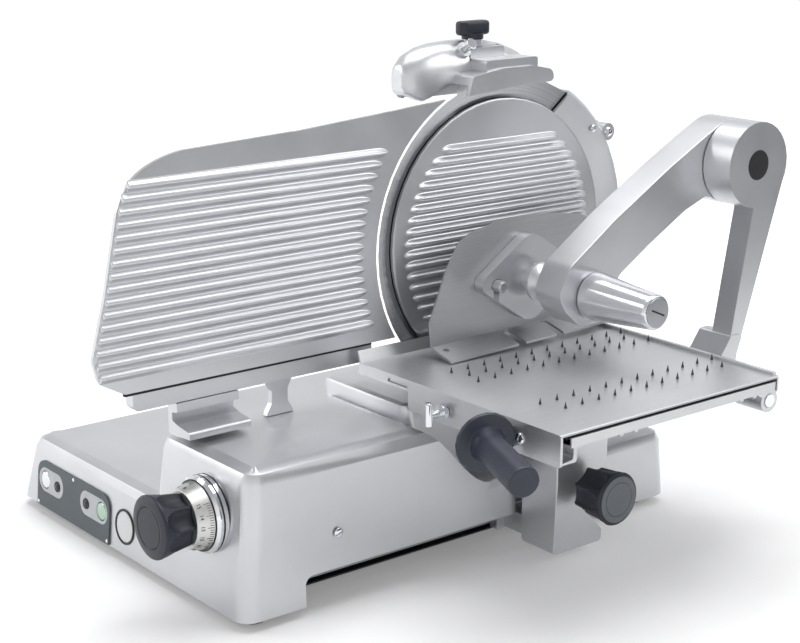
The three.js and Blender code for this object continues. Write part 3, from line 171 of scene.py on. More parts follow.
def noise(material, vector, size_mm, detail=2.0, roughness=0.5):
    """Noise whose blobs are about size_mm across."""
    values = {"Scale": 1 / (size_mm * MM), "Detail": detail, "Roughness": roughness}
    made = add_node(material, "ShaderNodeTexNoise", values=values, links={"Vector": vector})
    return made.outputs["Fac"]


def between(material, source, low, high, start=NOISE_LOW, end=NOISE_HIGH):
    """The source, spread from low to high."""
    made = add_node(material, "ShaderNodeMapRange", {"clamp": True}, {
        "From Min": start, "From Max": end, "To Min": low, "To Max": high}, {"Value": source})
    return made.outputs["Result"]


def two_colours(material, source, first, second):
    """The source, spread from the first hex colour to the second."""
    ramp = add_node(material, "ShaderNodeValToRGB", links={"Fac": source})
    ramp.color_ramp.elements[0].position = NOISE_LOW
    ramp.color_ramp.elements[0].color = linear(first)
    ramp.color_ramp.elements[1].position = NOISE_HIGH
    ramp.color_ramp.elements[1].color = linear(second)
    return ramp.outputs["Color"]


def bump(material, height, depth_mm):
    """A normal that tilts as if the surface rose and fell by depth_mm."""
    made = add_node(material, "ShaderNodeBump", values={
        "Strength": 1.0, "Distance": depth_mm * MM}, links={"Height": height})
    return made.outputs["Normal"]


# %% [markdown]
# ## Cast aluminium
# The casing, arms, fence and covers are cast, tumbled until they are smooth and then anodised.
# That leaves a silky, pale grey metal with soft highlights. A grain of under a millimetre is too
# fine to see as bumps, so it only breaks the highlight up, and a slow cloud changes how sharp the
# highlight is from hand to hand.

# %% Cast aluminium
SATIN_METAL_SHARE = 0.78


def satin_cast(name, light_colour, dark_colour, low_roughness, high_roughness):
    """The oxide film scatters some light like paint, and the metal under it mirrors the rest."""
    material, surface = new_material(name, {"Metallic": SATIN_METAL_SHARE})
    vector = object_pattern(material)
    cloud = noise(material, vector, 70, 3.0)
    grain = noise(material, vector, 1.1, 2.0, 0.6)
    feed(material, surface, "Base Color", two_colours(material, cloud, dark_colour, light_colour))
    feed(material, surface, "Roughness", between(material, cloud, low_roughness, high_roughness))
    feed(material, surface, "Normal", bump(material, grain, 0.025))
    return material


cast_aluminium = satin_cast("satin_cast_aluminium", "#d4d5d8", "#cdced1", 0.33, 0.38)
polished_aluminium = satin_cast("polished_aluminium", "#e0e1e4", "#d8d9dc", 0.12, 0.17)
print("cast metals made")

# %% [markdown]
# ## Brushed and ground steel
# Sheet steel is brushed on a belt, which leaves hair lines along one direction. Noise that is
# stretched about eighty times along that direction gives the same lines. The blade is ground while it
# turns, so its lines are circles, and the noise there reads the distance from the axis instead.

# %% Brushed and ground steel
def brushed_steel(name, light_colour, dark_colour, stretch, low_roughness, high_roughness):
    """Lines along one direction colour and bend the surface, and a slow cloud dulls it in places."""
    material, surface = new_material(name, {"Metallic": SATIN_METAL_SHARE})
    lines = noise(material, object_pattern(material, stretch), 1.0, 3.0, 0.6)
    cloud = noise(material, object_pattern(material), 60, 2.0)
    feed(material, surface, "Base Color", two_colours(material, lines, dark_colour, light_colour))
    feed(material, surface, "Roughness", between(material, cloud, low_roughness, high_roughness))
    feed(material, surface, "Normal", bump(material, lines, 0.02))
    return material


ALONG_Y = (1.0, 0.012, 1.0)
brushed_sheet = brushed_steel("brushed_stainless_sheet", "#d6d7d9", "#cecfd1", ALONG_Y, 0.34, 0.38)
brushed_plate = brushed_steel("brushed_pusher_plate", "#c2c3c5", "#b9babc", ALONG_Y, 0.32, 0.36)
turned_steel = brushed_steel("turned_steel", "#b4b6b9", "#9fa1a5", (1.0, 1.0, 1.0), 0.3, 0.42)


def ground_steel(name, centre, light_colour, dark_colour):
    """Grinding lines: noise of the distance from the turning axis alone."""
    material, surface = new_material(name, {"Metallic": 1.0, "Roughness": 0.24})
    vector = object_pattern(material, (0, 1, 1), centre)
    distance = add_node(material, "ShaderNodeVectorMath", {"operation": "LENGTH"}, links={0: vector})
    lines = add_node(material, "ShaderNodeTexNoise", {"noise_dimensions": "1D"},
                     {"Scale": 1 / (1.2 * MM), "Detail": 3.0}, {"W": distance.outputs["Value"]})
    circles = lines.outputs["Fac"]
    feed(material, surface, "Base Color", two_colours(material, circles, dark_colour, light_colour))
    feed(material, surface, "Normal", bump(material, circles, 0.015))
    return material


blade_steel = ground_steel("ground_blade_steel", at(0, 0, BLADE_AXIS_HEIGHT), "#aeafb2", "#98999c")

# %% [markdown]
# ## Chrome, bronze, plastic, rubber and stone
# Chrome is smooth enough to mirror the room. The plain bearings are sintered bronze. The knobs are
# moulded in a grained mould, and its fine grain is what keeps dark plastic from looking like paint.

# %% Small finishes
def plated(name, colour, roughness):
    """One metal colour, a little duller where hands have worn it."""
    material, surface = new_material(name, {"Metallic": 1.0, "Base Color": linear(colour)})
    wear = noise(material, object_pattern(material), 9, 2.0)
    feed(material, surface, "Roughness", between(material, wear, roughness, roughness + 0.06))
    return material


def moulded(name, light_colour, dark_colour, roughness, grain_mm, depth_mm):
    """A surface without metal, with the grain that its mould or its coating leaves."""
    material, surface = new_material(name, {"IOR": 1.5})
    vector = object_pattern(material)
    grain = noise(material, vector, grain_mm, 2.0, 0.6)
    cloud = noise(material, vector, 25, 2.0)
    feed(material, surface, "Base Color", two_colours(material, cloud, dark_colour, light_colour))
    feed(material, surface, "Roughness", between(material, grain, roughness - 0.05, roughness + 0.08))
    feed(material, surface, "Normal", bump(material, grain, depth_mm))
    return material


chrome = plated("chrome_plate", "#dfe1e4", 0.06)
green_chrome = plated("green_tinted_chrome", "#a9c4ae", 0.1)
sintered_bronze = plated("sintered_bronze", "#b08d57", 0.35)
navy_plastic = moulded("navy_moulded_nylon", "#1c2230", "#181d29", 0.42, 0.9, 0.03)
slate_plastic = moulded("slate_moulded_nylon", "#323646", "#2d3140", 0.38, 0.9, 0.02)
panel_plastic = moulded("panel_grained_plastic", "#586165", "#525b5f", 0.5, 0.7, 0.03)
# Black rubber is real on the plug and the rubber parts, and painted shade in two strips: the fence seam
# and the gap behind the table's edge rail.
black_rubber_and_shade = moulded("black_rubber_and_shade", "#1d1e20", "#17181a", 0.7, 0.8, 0.04)
grey_stone = moulded("sintered_sharpening_stone", "#918c85", "#7f7a74", 0.85, 0.6, 0.08)
pale_plastic = moulded("pale_grey_moulded_nylon", "#c9cccf", "#c1c4c7", 0.4, 0.9, 0.02)
knob_face = moulded("matt_grey_knob_face", "#6b7075", "#656a6f", 0.55, 0.7, 0.02)
# Black stove paint is real on the lamp bezels and the badge rim, and painted shade on the dial flange's
# groove rings and, in part, on the bottom plate.
black_paint = moulded("black_stove_paint_and_shade", "#1d1e20", "#18191b", 0.45, 0.8, 0.02)
white_enamel = moulded("white_enamel", "#eceded", "#e6e7e8", 0.3, 1.5, 0.0)
dial_silver = plated("silver_printed_scale", "#d4d4d1", 0.36)
dark_pin_steel = plated("dark_pin_steel", "#55575b", 0.3)
unlit_lens = moulded("unlit_lamp_lens", "#26282a", "#1f2123", 0.18, 0.9, 0.0)
# The black ink is real print on the dial, and painted shade where it stands for the slot in the handle's
# cap.
ink_and_slot_shade = moulded("black_dial_ink_and_slot_shade", "#1b1c1f", "#17181a", 0.5, 0.6, 0.0)
print("materials", len(bpy.data.materials))

# %% [markdown]
# ## Which node has which finish
# The model's record says a slot for every node. The looks above are handed out slot by slot, and
# the few pieces that the photograph shows in another finish are named after that.

# %% Hand out the finishes
FINISH_OF_SLOT = {
    "cast_aluminium": cast_aluminium, "polished_aluminium": polished_aluminium,
    "stainless": brushed_sheet, "blade_steel": blade_steel, "steel": turned_steel,
    "chrome": chrome, "green_chrome": green_chrome, "bronze": sintered_bronze,
    "navy_plastic": navy_plastic, "slate_plastic": slate_plastic, "panel_plastic": panel_plastic,
    "cream_plastic": dial_silver, "rubber": black_rubber_and_shade, "stone": grey_stone,
    "black_paint": black_paint, "light_plastic": pale_plastic,
}
slot_of_node = {part["node"]: part["material_slot"] for part in frame["record"]["subparts"]}


def paint(piece, material):
    """Gives the whole piece one material."""
    piece.data.materials.clear()
    piece.data.materials.append(material)


# The bottom plate takes black paint from its slot: partly for the black foot sheet under the casing, and
# partly as painted shade where it shows inside the casing's notch, which lies in shade.
for name, piece in nodes.items():
    paint(piece, FINISH_OF_SLOT[slot_of_node[name]])
paint(nodes["pusher_plate"], brushed_plate)

# %% [markdown]
# ## Soft edges
# A cast or moulded edge is never sharp: it has a radius that catches a line of light. The nodes
# keep their meshes, and live modifiers finish them. Weld closes the loose triangles, Decimate in its
# planar mode makes each flat face one face, and Bevel rounds what is left between them. Edge Split
# and Weighted Normal then shade the small turns smooth and leave the large ones crisp.

# %% Round the edges
EDGE_ROUND_MM = {
    "base_casing": 0, "blade_housing": 1.0, "belt_cover": 0.7, "blade_cover": 0.5, "fence_plate": 0.4,
    "fence_bar": 0.8, "fence_slide": 1.0, "fence_strut": 0.8, "sharpener_housing": 1.4,
    "carriage_column": 1.2, "carriage_plate": 0.8, "upright_arm": 2.2, "link_arm": 2.2,
    "table_plate": 0.4, "pusher_plate": 0.4, "pusher_spool": 1.0, "control_panel": 0.5,
    "push_handle": 0.8, "dial_knob": 1.2, "lock_knob": 1.8, "sharpener_knob": 1.2,
}
DEFAULT_EDGE_MM = 0.4
WELD_DISTANCE = 0.00002
FLAT_WITHIN, ROUNDED_FROM, SPLIT_FROM = np.radians((1.0, 33, 39))


def soften(piece, radius_mm):
    """Weld, merge flat faces, round the edges, and shade smooth across small turns. The normals are
    weighted by area, so that a flat face stays flat right up to its rounded edge."""
    weld = piece.modifiers.new("weld", "WELD")
    weld.merge_threshold = WELD_DISTANCE
    if radius_mm > 0:
        flat = piece.modifiers.new("flat", "DECIMATE")
        flat.decimate_type = "DISSOLVE"
        flat.angle_limit = FLAT_WITHIN
        rounded = piece.modifiers.new("round", "BEVEL")
        rounded.width = radius_mm * MM
        rounded.segments = 2
        rounded.limit_method = "ANGLE"
        rounded.angle_limit = ROUNDED_FROM
        rounded.use_clamp_overlap = True
    split = piece.modifiers.new("split", "EDGE_SPLIT")
    split.split_angle = SPLIT_FROM
    piece.modifiers.new("even", "WEIGHTED_NORMAL")
    piece.data.polygons.foreach_set("use_smooth", np.ones(len(piece.data.polygons), bool))


for name, piece in nodes.items():
    soften(piece, EDGE_ROUND_MM.get(name, DEFAULT_EDGE_MM))
print("softened", len(nodes))

# %% [markdown]
# ## Skins over rings of points
# The small pieces below are surfaces worked out from formulas, in machine millimetres. All of them
# are rings of points in a row, joined ring to ring and closed at both ends, so that one function can
# make a knob, a spike, a ridge or a screw head. A turned profile stops just short of its axis, and
# the closing fan fills what is left. Most small pieces start a little inside what carries them.

# %% Rings and skins
NEAR_AXIS, DOME_TIP, SUNK = 0.5, 0.05, 0.3
TO_CARRIAGE, TO_OPERATOR, UPWARDS = (1, 0, 0), (0, -1, 0), (0, 0, 1)


def skin(rings):
    """Points and faces of a closed surface: four-sided faces join each ring to the next one, and
    a fan round its own middle closes the first and the last ring."""
    rings = np.asarray(rings, float)
    count, around = rings.shape[:2]
    points = np.concatenate([rings.reshape(-1, 3), rings[:1].mean(axis=1), rings[-1:].mean(axis=1)])
    here = np.arange(around)
    there = np.roll(here, -1)
    faces = []
    for row in range(count - 1):
        low, high = row * around, (row + 1) * around
        faces += np.stack([here + low, there + low, there + high, here + high], axis=1).tolist()
    last = (count - 1) * around
    first_middle, last_middle = count * around, count * around + 1
    faces += np.stack([there, here, np.full(around, first_middle)], axis=1).tolist()
    faces += np.stack([here + last, there + last, np.full(around, last_middle)], axis=1).tolist()
    return points, faces


def add_piece(name, body, material, skins, crease_degrees=38):
    """Joins skins into one object that rides on a body, and shades it smooth up to a crease."""
    points = np.concatenate([points for points, faces in skins])
    starts = np.cumsum([0] + [len(points) for points, faces in skins])
    faces = [[int(start) + corner for corner in face]
             for start, (_, all_faces) in zip(starts, skins) for face in all_faces]
    mesh = bpy.data.meshes.new(name)
    mesh.from_pydata((MACHINE_ORIGIN + points * MM).tolist(), [], faces)
    mesh.polygons.foreach_set("use_smooth", np.ones(len(mesh.polygons), bool))
    made = bpy.data.objects.new(name, mesh)
    bpy.context.scene.collection.objects.link(made)
    crease = made.modifiers.new("crease", "EDGE_SPLIT")
    crease.split_angle = math.radians(crease_degrees)
    paint(made, material)
    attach(made, body)
    return made


def across(axis):
    """The axis as a unit vector, and two more at right angles to it and to each other."""
    axis = np.array(axis, float) / np.linalg.norm(axis)
    helper = np.array([0, 0, 1.0]) if abs(axis[2]) < 0.9 else np.array([0, 1.0, 0])
    side = np.cross(helper, axis)
    side /= np.linalg.norm(side)
    return axis, side, np.cross(axis, side)


def turned(place, axis, profile, steps, swell=None, rise=None):
    """Rings round an axis through a place. A profile point is (along, out). Swell and rise change
    those two by the turn angle."""
    axis, side, up = across(axis)
    turn = np.linspace(0, 2 * np.pi, steps, endpoint=False)
    along = np.repeat(np.array(profile)[:, :1], steps, axis=1)
    out = np.repeat(np.array(profile)[:, 1:], steps, axis=1)
    if swell is not None:
        out = swell(along, out, turn)
    if rise is not None:
        along = rise(along, out, turn)
    return (np.array(place, float) + along[..., None] * axis
            + (out * np.cos(turn))[..., None] * side + (out * np.sin(turn))[..., None] * up)


def eased(corners, gap=1.2, steps=5):
    """A line through (along, out, ease) corners. A corner with an ease becomes a curve that leaves
    the line that far before it and comes back as far after it. No two points are further apart
    than the gap."""
    places = np.array([corner[:2] for corner in corners], float)
    line = []
    for i, (along, out, ease) in enumerate(corners):
        corner = places[i]
        if ease == 0:
            line.append(corner)
            continue
        before = corner + ease * (places[i - 1] - corner) / np.linalg.norm(places[i - 1] - corner)
        after = corner + ease * (places[i + 1] - corner) / np.linalg.norm(places[i + 1] - corner)
        for t in np.linspace(0, 1, steps):
            line.append((1 - t) ** 2 * before + 2 * t * (1 - t) * corner + t * t * after)
    parts = []
    for start, end in zip(line, line[1:]):
        pieces = max(1, math.ceil(np.linalg.norm(end - start) / gap))
        parts.append(np.linspace(start, end, pieces, endpoint=False))
    return np.concatenate([*parts, line[-1:]])


def dome(radius, height):
    """A profile that is an ellipse in section, over a short straight foot."""
    quarter = np.linspace(0, np.pi / 2, 7)
    return [(-SUNK, radius)] + [
        (height * math.sin(turn), max(radius * math.cos(turn), DOME_TIP)) for turn in quarter]


def straight_bar(section, start, end):
    """A closed section of (x, z) corners, drawn out along the depth of the machine."""
    return skin([[(x, y, z) for x, z in section] for y in (start, end)])


# %% [markdown]
# ## Knobs with scooped sides
# A finger scoop is part of an ellipsoid: its depth is the square root of what is left of one after
# taking away the squared angle from the middle of the petal and the squared distance past the point
# where it starts to close. So it is deep at the back and ends round before the front rim.

# %% Scooped knobs
def scooped(length, scoops, depth, width, closes_over):
    """A swell that cuts that many scoops. Width is a share of one petal, and a scoop closes over a
    share of the knob's length."""
    def swell(along, out, turn):
        petal = (turn * scoops / (2 * np.pi)) % 1 - 0.5
        past = np.clip((along - SCOOPS_CLOSE_FROM * length) / (closes_over * length), 0, None)
        left = np.clip(1 - (petal / (width / 2)) ** 2 - past ** 2, 0, 1)
        return out * (1 - depth / out.max() * np.sqrt(left))
    return swell


DIAL_X, DIAL_Z = 62, 103
DIAL_PLACE = (DIAL_X, -457.3, DIAL_Z)
DIAL_KNOB = {"radius": 32, "length": 35.7, "back": 27, "circle": 20.5}
DIAL_SCOOPS = {"scoops": 8, "depth": 6.0, "width": 0.86, "closes_over": 0.45}
LOCK_PLACE = (205.5, -52, 82)
LOCK_KNOB = {"radius": 28.5, "length": 41, "back": 25, "circle": 18}
LOCK_SCOOPS = {"scoops": 7, "depth": 4.6, "width": 0.84, "closes_over": 0.56}
SCOOPS_CLOSE_FROM = 0.4
GROOVE, RIM_SETBACK, FACE_BORDER, CROWN = 0.7, 1.6, 3, 0.3
FACE_RADIUS, FACE_GROOVE_RADIUS = 24.5, 18


def knob_profile(knob):
    """Back face, widening side, rounded rim, and a face with a fine circle cut in it."""
    long, circle = knob["length"], knob["circle"]
    return eased([
        (0, NEAR_AXIS, 0), (0, knob["back"], 1.5),
        (long - RIM_SETBACK, knob["radius"], 2.4), (long, circle + FACE_BORDER, 0.8),
        (long, circle + GROOVE, 0), (long - GROOVE, circle, 0), (long, circle - GROOVE, 0),
        (long + CROWN, NEAR_AXIS, 0),
    ])


dial_rings = turned(DIAL_PLACE, TO_OPERATOR, knob_profile(DIAL_KNOB), steps=160,
                    swell=scooped(DIAL_KNOB["length"], **DIAL_SCOOPS))
knob = add_piece("dial_knob_scooped", "dial", navy_plastic, [skin(dial_rings)])
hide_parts("dial_knob")
lock_rings = turned(LOCK_PLACE, TO_CARRIAGE, knob_profile(LOCK_KNOB), steps=140,
                    swell=scooped(LOCK_KNOB["length"], **LOCK_SCOOPS))
knob = add_piece("lock_knob_scooped", "lock_knob", navy_plastic, [skin(lock_rings)])
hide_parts("lock_knob")
face_place = (LOCK_PLACE[0] + LOCK_KNOB["length"], *LOCK_PLACE[1:])
face_profile = eased([
    (-0.6, FACE_RADIUS, 0), (0.15, FACE_RADIUS, 0.3), (0.45, FACE_GROOVE_RADIUS + GROOVE, 0),
    (-0.2, FACE_GROOVE_RADIUS, 0), (0.5, FACE_GROOVE_RADIUS - GROOVE, 0), (0.6, NEAR_AXIS, 0),
])
add_piece("lock_knob_face", "lock_knob", knob_face,
          [skin(turned(face_place, TO_CARRIAGE, face_profile, steps=96))])
print("lock knob polygons", len(knob.data.polygons))

# %% [markdown]
# ## Rounded ridges
# The cast ribs are waves: the height over the plate is the squared cosine of the share of the half
# width, so a ridge runs into the next valley without an edge. Towards an end both width and height
# shrink as an ellipse does, which leaves a thumb-shaped tip. They lie over the plainer CAD ribs. On
# the fence the inner tips end on a circle 20 millimetres wider than the plate's own round edge.

# %% Ridges on the fence
def ridge(face_x, z, front, end, half_width, height, front_tip, end_tip):
    """One ridge along the depth of the machine, standing on a face that looks to the carriage."""
    open_turn = np.linspace(0, np.pi / 2, 7)
    stations = np.concatenate([front + front_tip * (1 - np.cos(open_turn)),
                               end - end_tip * (1 - np.cos(open_turn[::-1]))])
    sizes = np.concatenate([np.sin(open_turn), np.sin(open_turn[::-1])]).clip(0.04)
    share = np.linspace(-1, 1, 15)
    wave = np.cos(np.pi / 2 * share) ** 2
    rings = []
    for place, size in zip(stations, sizes):
        rings.append(np.stack([face_x - RIDGE_SUNK + size * height * wave, np.full_like(share, place),
                               z + size * half_width * share], axis=1))
    return skin(rings)


RIDGE_PITCH, RIDGE_SUNK, RIDGE_CREASE = 12, 0.05, 60
FENCE_FACE_X, FENCE_ARC, TIP_CLEARANCE = 6.8, 177.5, 20
TIP_CIRCLE_Y, TIP_CIRCLE_UP = 4, 1.2
FENCE_RIDGE = {"half_width": 5.95, "height": 4.3, "front_tip": 1.5, "end_tip": 17}
FENCE_RIDGE_HEIGHTS = np.arange(239.2, 426, RIDGE_PITCH)
FENCE_EDGE_Z = [234, 258, 315.5, 403, 425]
FENCE_EDGE_Y = [-507, -512, -497.5, -479, -467]
fence_ridges = []
for z in FENCE_RIDGE_HEIGHTS:
    up = z - TIP_CIRCLE_UP - BLADE_AXIS_HEIGHT
    end = -math.sqrt((FENCE_ARC + TIP_CLEARANCE) ** 2 - up ** 2) + TIP_CIRCLE_Y
    front = np.interp(z, FENCE_EDGE_Z, FENCE_EDGE_Y)
    fence_ridges.append(ridge(FENCE_FACE_X, z, front, end, **FENCE_RIDGE))
add_piece("fence_ridges", "fence", cast_aluminium, fence_ridges, RIDGE_CREASE)

# %% [markdown]
# ## The fence's round corner and its seam
# The plate's upper front corner is one curve. It is a quadratic one: it leaves the first place,
# is pulled towards the second and arrives at the third, each given as depth and height. A dark
# strip fills the seam between the plate and the bar under it, as painted shade in that gap.

# %% Corner and seam
CORNER_START, CORNER_PULL, CORNER_END = np.array([[-479.5, 403], [-466, 438], [-410, 447]])
CORNER_BACK_X, CORNER_FRONT_X, CORNER_STEPS = 2.3, 6.7, 14
CORNER_INSIDE = [(-280, 452.4), (-280, 445), (-412, 425), (-470, 402)]
corner_curve = [(1 - t) ** 2 * CORNER_START + 2 * t * (1 - t) * CORNER_PULL + t * t * CORNER_END
                for t in np.linspace(0, 1, CORNER_STEPS)]
corner_ring = [tuple(point) for point in corner_curve] + CORNER_INSIDE
corner = skin([[(x, y, z) for y, z in corner_ring[::-1]] for x in (CORNER_BACK_X, CORNER_FRONT_X)])
add_piece("fence_round_corner", "fence", cast_aluminium, [corner])

SEAM_BACK_X, SEAM_FRONT_X, SEAM_LOW, SEAM_HIGH = 2.2, 6.3, 216.3, 218.7
SEAM_START, SEAM_END = -481, -184
seam_section = [(SEAM_BACK_X, SEAM_LOW), (SEAM_BACK_X, SEAM_HIGH),
                (SEAM_FRONT_X, SEAM_HIGH), (SEAM_FRONT_X, SEAM_LOW)]
# Painted shade: a black strip in the seam, as dark as the shadow there.
add_piece("fence_seam_painted_shade", "fence", black_rubber_and_shade,
          [straight_bar(seam_section, SEAM_START, SEAM_END)])

# %% Ridges on the cover
COVER_FACE_X, COVER_RADIUS, COVER_BORDER, TIP_PAST_BORDER = 1, 150.6, 22, 7
COVER_RIDGE = {"half_width": 5.9, "height": 5.2, "front_tip": 14, "end_tip": 14}
COVER_ROWS = range(-8, 9)
cover_ridges = []
for row in COVER_ROWS:
    up = (row + 0.5) * RIDGE_PITCH
    reach = math.sqrt((COVER_RADIUS - COVER_BORDER) ** 2 - up ** 2) + TIP_PAST_BORDER
    cover_ridges.append(ridge(COVER_FACE_X, BLADE_AXIS_HEIGHT + up, -reach, reach, **COVER_RIDGE))
add_piece("cover_ridges", "machine", cast_aluminium, cover_ridges, RIDGE_CREASE)
print("ridges", len(fence_ridges), len(cover_ridges))

# %% [markdown]
# ## The tapered handle and the dark plug
# The arm's handle narrows evenly from its shoulder to its cap, and is polished. A dark bar runs
# across the cap as painted shade for its slot. A dark plug closes the joint above the handle.

# %% Handle, cap and plug
HANDLE_START, HANDLE_AXIS_Y, HANDLE_AXIS_Z = 157.6, -8, 272
HANDLE_LENGTH, HANDLE_SHOULDER, HANDLE_TIP = 91, 25.8, 18
SHOULDER_ALONG, SHOULDER_IN = 3, 2
CAP_RADIUS, CAP_EDGE, CAP_CROWN, CAP_SUNK = 15.6, 1.2, 1.5, 0.5
SLOT_CORNERS, SLOT_HEIGHT = ((-9, 3), (9, -5), (9, -3), (-9, 5)), 0.5

handle_place = (HANDLE_START, HANDLE_AXIS_Y, HANDLE_AXIS_Z)
handle_profile = eased([
    (0, NEAR_AXIS, 0), (0, HANDLE_SHOULDER - SHOULDER_IN, 0), (SHOULDER_ALONG, HANDLE_SHOULDER, 2),
    (HANDLE_LENGTH, HANDLE_TIP, 3), (HANDLE_LENGTH, NEAR_AXIS, 0),
], gap=3)
handle = add_piece("arm_handle_tapered", "link_arm", polished_aluminium,
                   [skin(turned(handle_place, TO_CARRIAGE, handle_profile, steps=72))])
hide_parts("arm_handle")

cap_place = (HANDLE_START + HANDLE_LENGTH, HANDLE_AXIS_Y, HANDLE_AXIS_Z)
cap_profile = eased([(-CAP_SUNK, NEAR_AXIS, 0), (-CAP_SUNK, CAP_RADIUS, 0),
                     (CAP_EDGE, CAP_RADIUS, 0.8), (CAP_CROWN, NEAR_AXIS, 0)])
cap = add_piece("arm_handle_cap", "link_arm", turned_steel,
                [skin(turned(cap_place, TO_CARRIAGE, cap_profile, steps=48))])
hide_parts("handle_cap")
# The slot is not cut: a thin dark bar laid on the cap paints its shade.
slot_foot = [(cap_place[0] + CAP_EDGE, HANDLE_AXIS_Y + y, HANDLE_AXIS_Z + z) for y, z in SLOT_CORNERS]
slot_top = [(x + SLOT_HEIGHT, y, z) for x, y, z in slot_foot]
add_piece("cap_slot_painted_shade", "link_arm", ink_and_slot_shade, [skin([slot_foot, slot_top])])

PLUG_PLACE, PLUG_RADIUS, PLUG_RISE = (195, 200, 392), 16.5, 1.2
plug = add_piece("head_plug", "press_arm", black_rubber_and_shade,
                 [skin(turned(PLUG_PLACE, TO_CARRIAGE, dome(PLUG_RADIUS, PLUG_RISE), steps=48))])
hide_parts("arm_plug")

# %% [markdown]
# ## Spikes on the table
# Rows of short steel spikes hold the food. In each row they stand 22.4 millimetres apart, and each
# row starts at a place of its own, so that the pattern is staggered. A row is named by how far across
# the table it stands, and says where along the table it starts and stops.

# %% Table spikes
SPIKE_PITCH, SPIKE_HEIGHT, SPIKE_RADIUS, TABLE_TOP = 22.4, 6.5, 1.5, 202
SPIKE_SUNK, SPIKE_FOOT, SPIKE_POINT = 0.2, 0.6, 0.2
SPIKE_ROWS = {102: (-154, 95), 121: (-146, 95), 143: (-153, 95), 236: (-154.5, 95), 260.5: (-144, 85)}
spike_profile = [(-SPIKE_SUNK, SPIKE_RADIUS), (SPIKE_FOOT, SPIKE_RADIUS),
                 (0.45 * SPIKE_HEIGHT, 0.62 * SPIKE_RADIUS), (SPIKE_HEIGHT, SPIKE_POINT)]
spikes = [skin(turned((x, y, TABLE_TOP), UPWARDS, spike_profile, steps=10))
          for x, (first, last) in SPIKE_ROWS.items() for y in np.arange(first, last, SPIKE_PITCH)]
add_piece("table_spikes", "meat_table", dark_pin_steel, spikes)
print("spikes", len(spikes))

# %% [markdown]
# ## The rail under the table's edge
# A folded rail runs under the outer edge of the table sheet, with a shadow gap between the two. It
# is a channel in section, and a dark strip stands behind the gap as painted shade, so the gap reads
# black.

# %% Edge rail
RAIL_LOW, RAIL_HIGH, RAIL_OUT, RAIL_IN, RAIL_WALL = 186.5, 196, 317, 303, 2
RAIL_START, RAIL_END, RAIL_ROUND = -190, 98.5, 0.8
STRIP_TOP, STRIP_BORDER = 199, 3
wall_in, wall_out, floor_top = RAIL_IN + RAIL_WALL, RAIL_OUT - RAIL_WALL, RAIL_LOW + RAIL_WALL
rail_section = [(RAIL_IN, RAIL_LOW), (RAIL_IN, RAIL_HIGH), (wall_in, RAIL_HIGH), (wall_in, floor_top),
                (wall_out, floor_top), (wall_out, RAIL_HIGH), (RAIL_OUT, RAIL_HIGH), (RAIL_OUT, RAIL_LOW)]
rail = add_piece("table_edge_rail", "meat_table", brushed_sheet,
                 [straight_bar(rail_section, RAIL_START, RAIL_END)])
rounded = rail.modifiers.new("round", "BEVEL")
rounded.width = RAIL_ROUND * MM
rounded.segments = 2
strip_in, strip_out, strip_low = RAIL_IN + STRIP_BORDER, RAIL_OUT - STRIP_BORDER, RAIL_LOW + STRIP_BORDER
strip_section = [(strip_in, strip_low), (strip_in, STRIP_TOP),
                 (strip_out, STRIP_TOP), (strip_out, strip_low)]
# Painted shade: the black strip behind the gap stands in for the shadow there.
add_piece("edge_gap_painted_shade", "meat_table", black_rubber_and_shade,
          [straight_bar(strip_section, RAIL_START, RAIL_END)])

# %% [markdown]
# ## The dial's marks
# The scale is a cone. A tick is a thin bar laid on it, and every fifth one is longer and has a
# number. The numbers go round against the turn of the dial, so that opening it counts up.

# %% Ticks and numbers
SCALE_BACK, SCALE_FRONT = np.array([-440, 34.5]), np.array([-457, 29.5])
TICKS, TICKS_PER_NUMBER, SCALE_TURN = 75, 5, math.radians(309)
TICK_HALF_WIDTH, INK_HEIGHT, NUMBER_HEIGHT = 0.22, 0.1, 5.4
TICK_BACK, SHORT_TICK, LONG_TICK, NUMBER_MIDDLE = 0.06, 0.28, 0.42, 0.7
TICK_SECTION = ((-SUNK, -TICK_HALF_WIDTH), (-SUNK, TICK_HALF_WIDTH),
                (INK_HEIGHT, TICK_HALF_WIDTH), (INK_HEIGHT, -TICK_HALF_WIDTH))


def on_scale(turn, share, lift=0.0, aside=0.0):
    """A point of the cone: the angle counts from the top, towards the operator's left, and the
    share counts from the cone's back edge to its front one."""
    along, out = SCALE_BACK + (SCALE_FRONT - SCALE_BACK) * share
    slope = (SCALE_BACK - SCALE_FRONT) / np.linalg.norm(SCALE_BACK - SCALE_FRONT)
    along, out = along - slope[1] * lift, out + slope[0] * lift
    radial = np.array([-math.sin(turn), 0, math.cos(turn)])
    tangent = np.array([math.cos(turn), 0, math.sin(turn)])
    return np.array([DIAL_X, along, DIAL_Z]) + radial * out + tangent * aside


def tick(turn, length):
    """A thin bar on the cone, from near its back edge to that share of it."""
    return skin([[on_scale(turn, share, lift, aside) for lift, aside in TICK_SECTION]
                 for share in (TICK_BACK, length)])


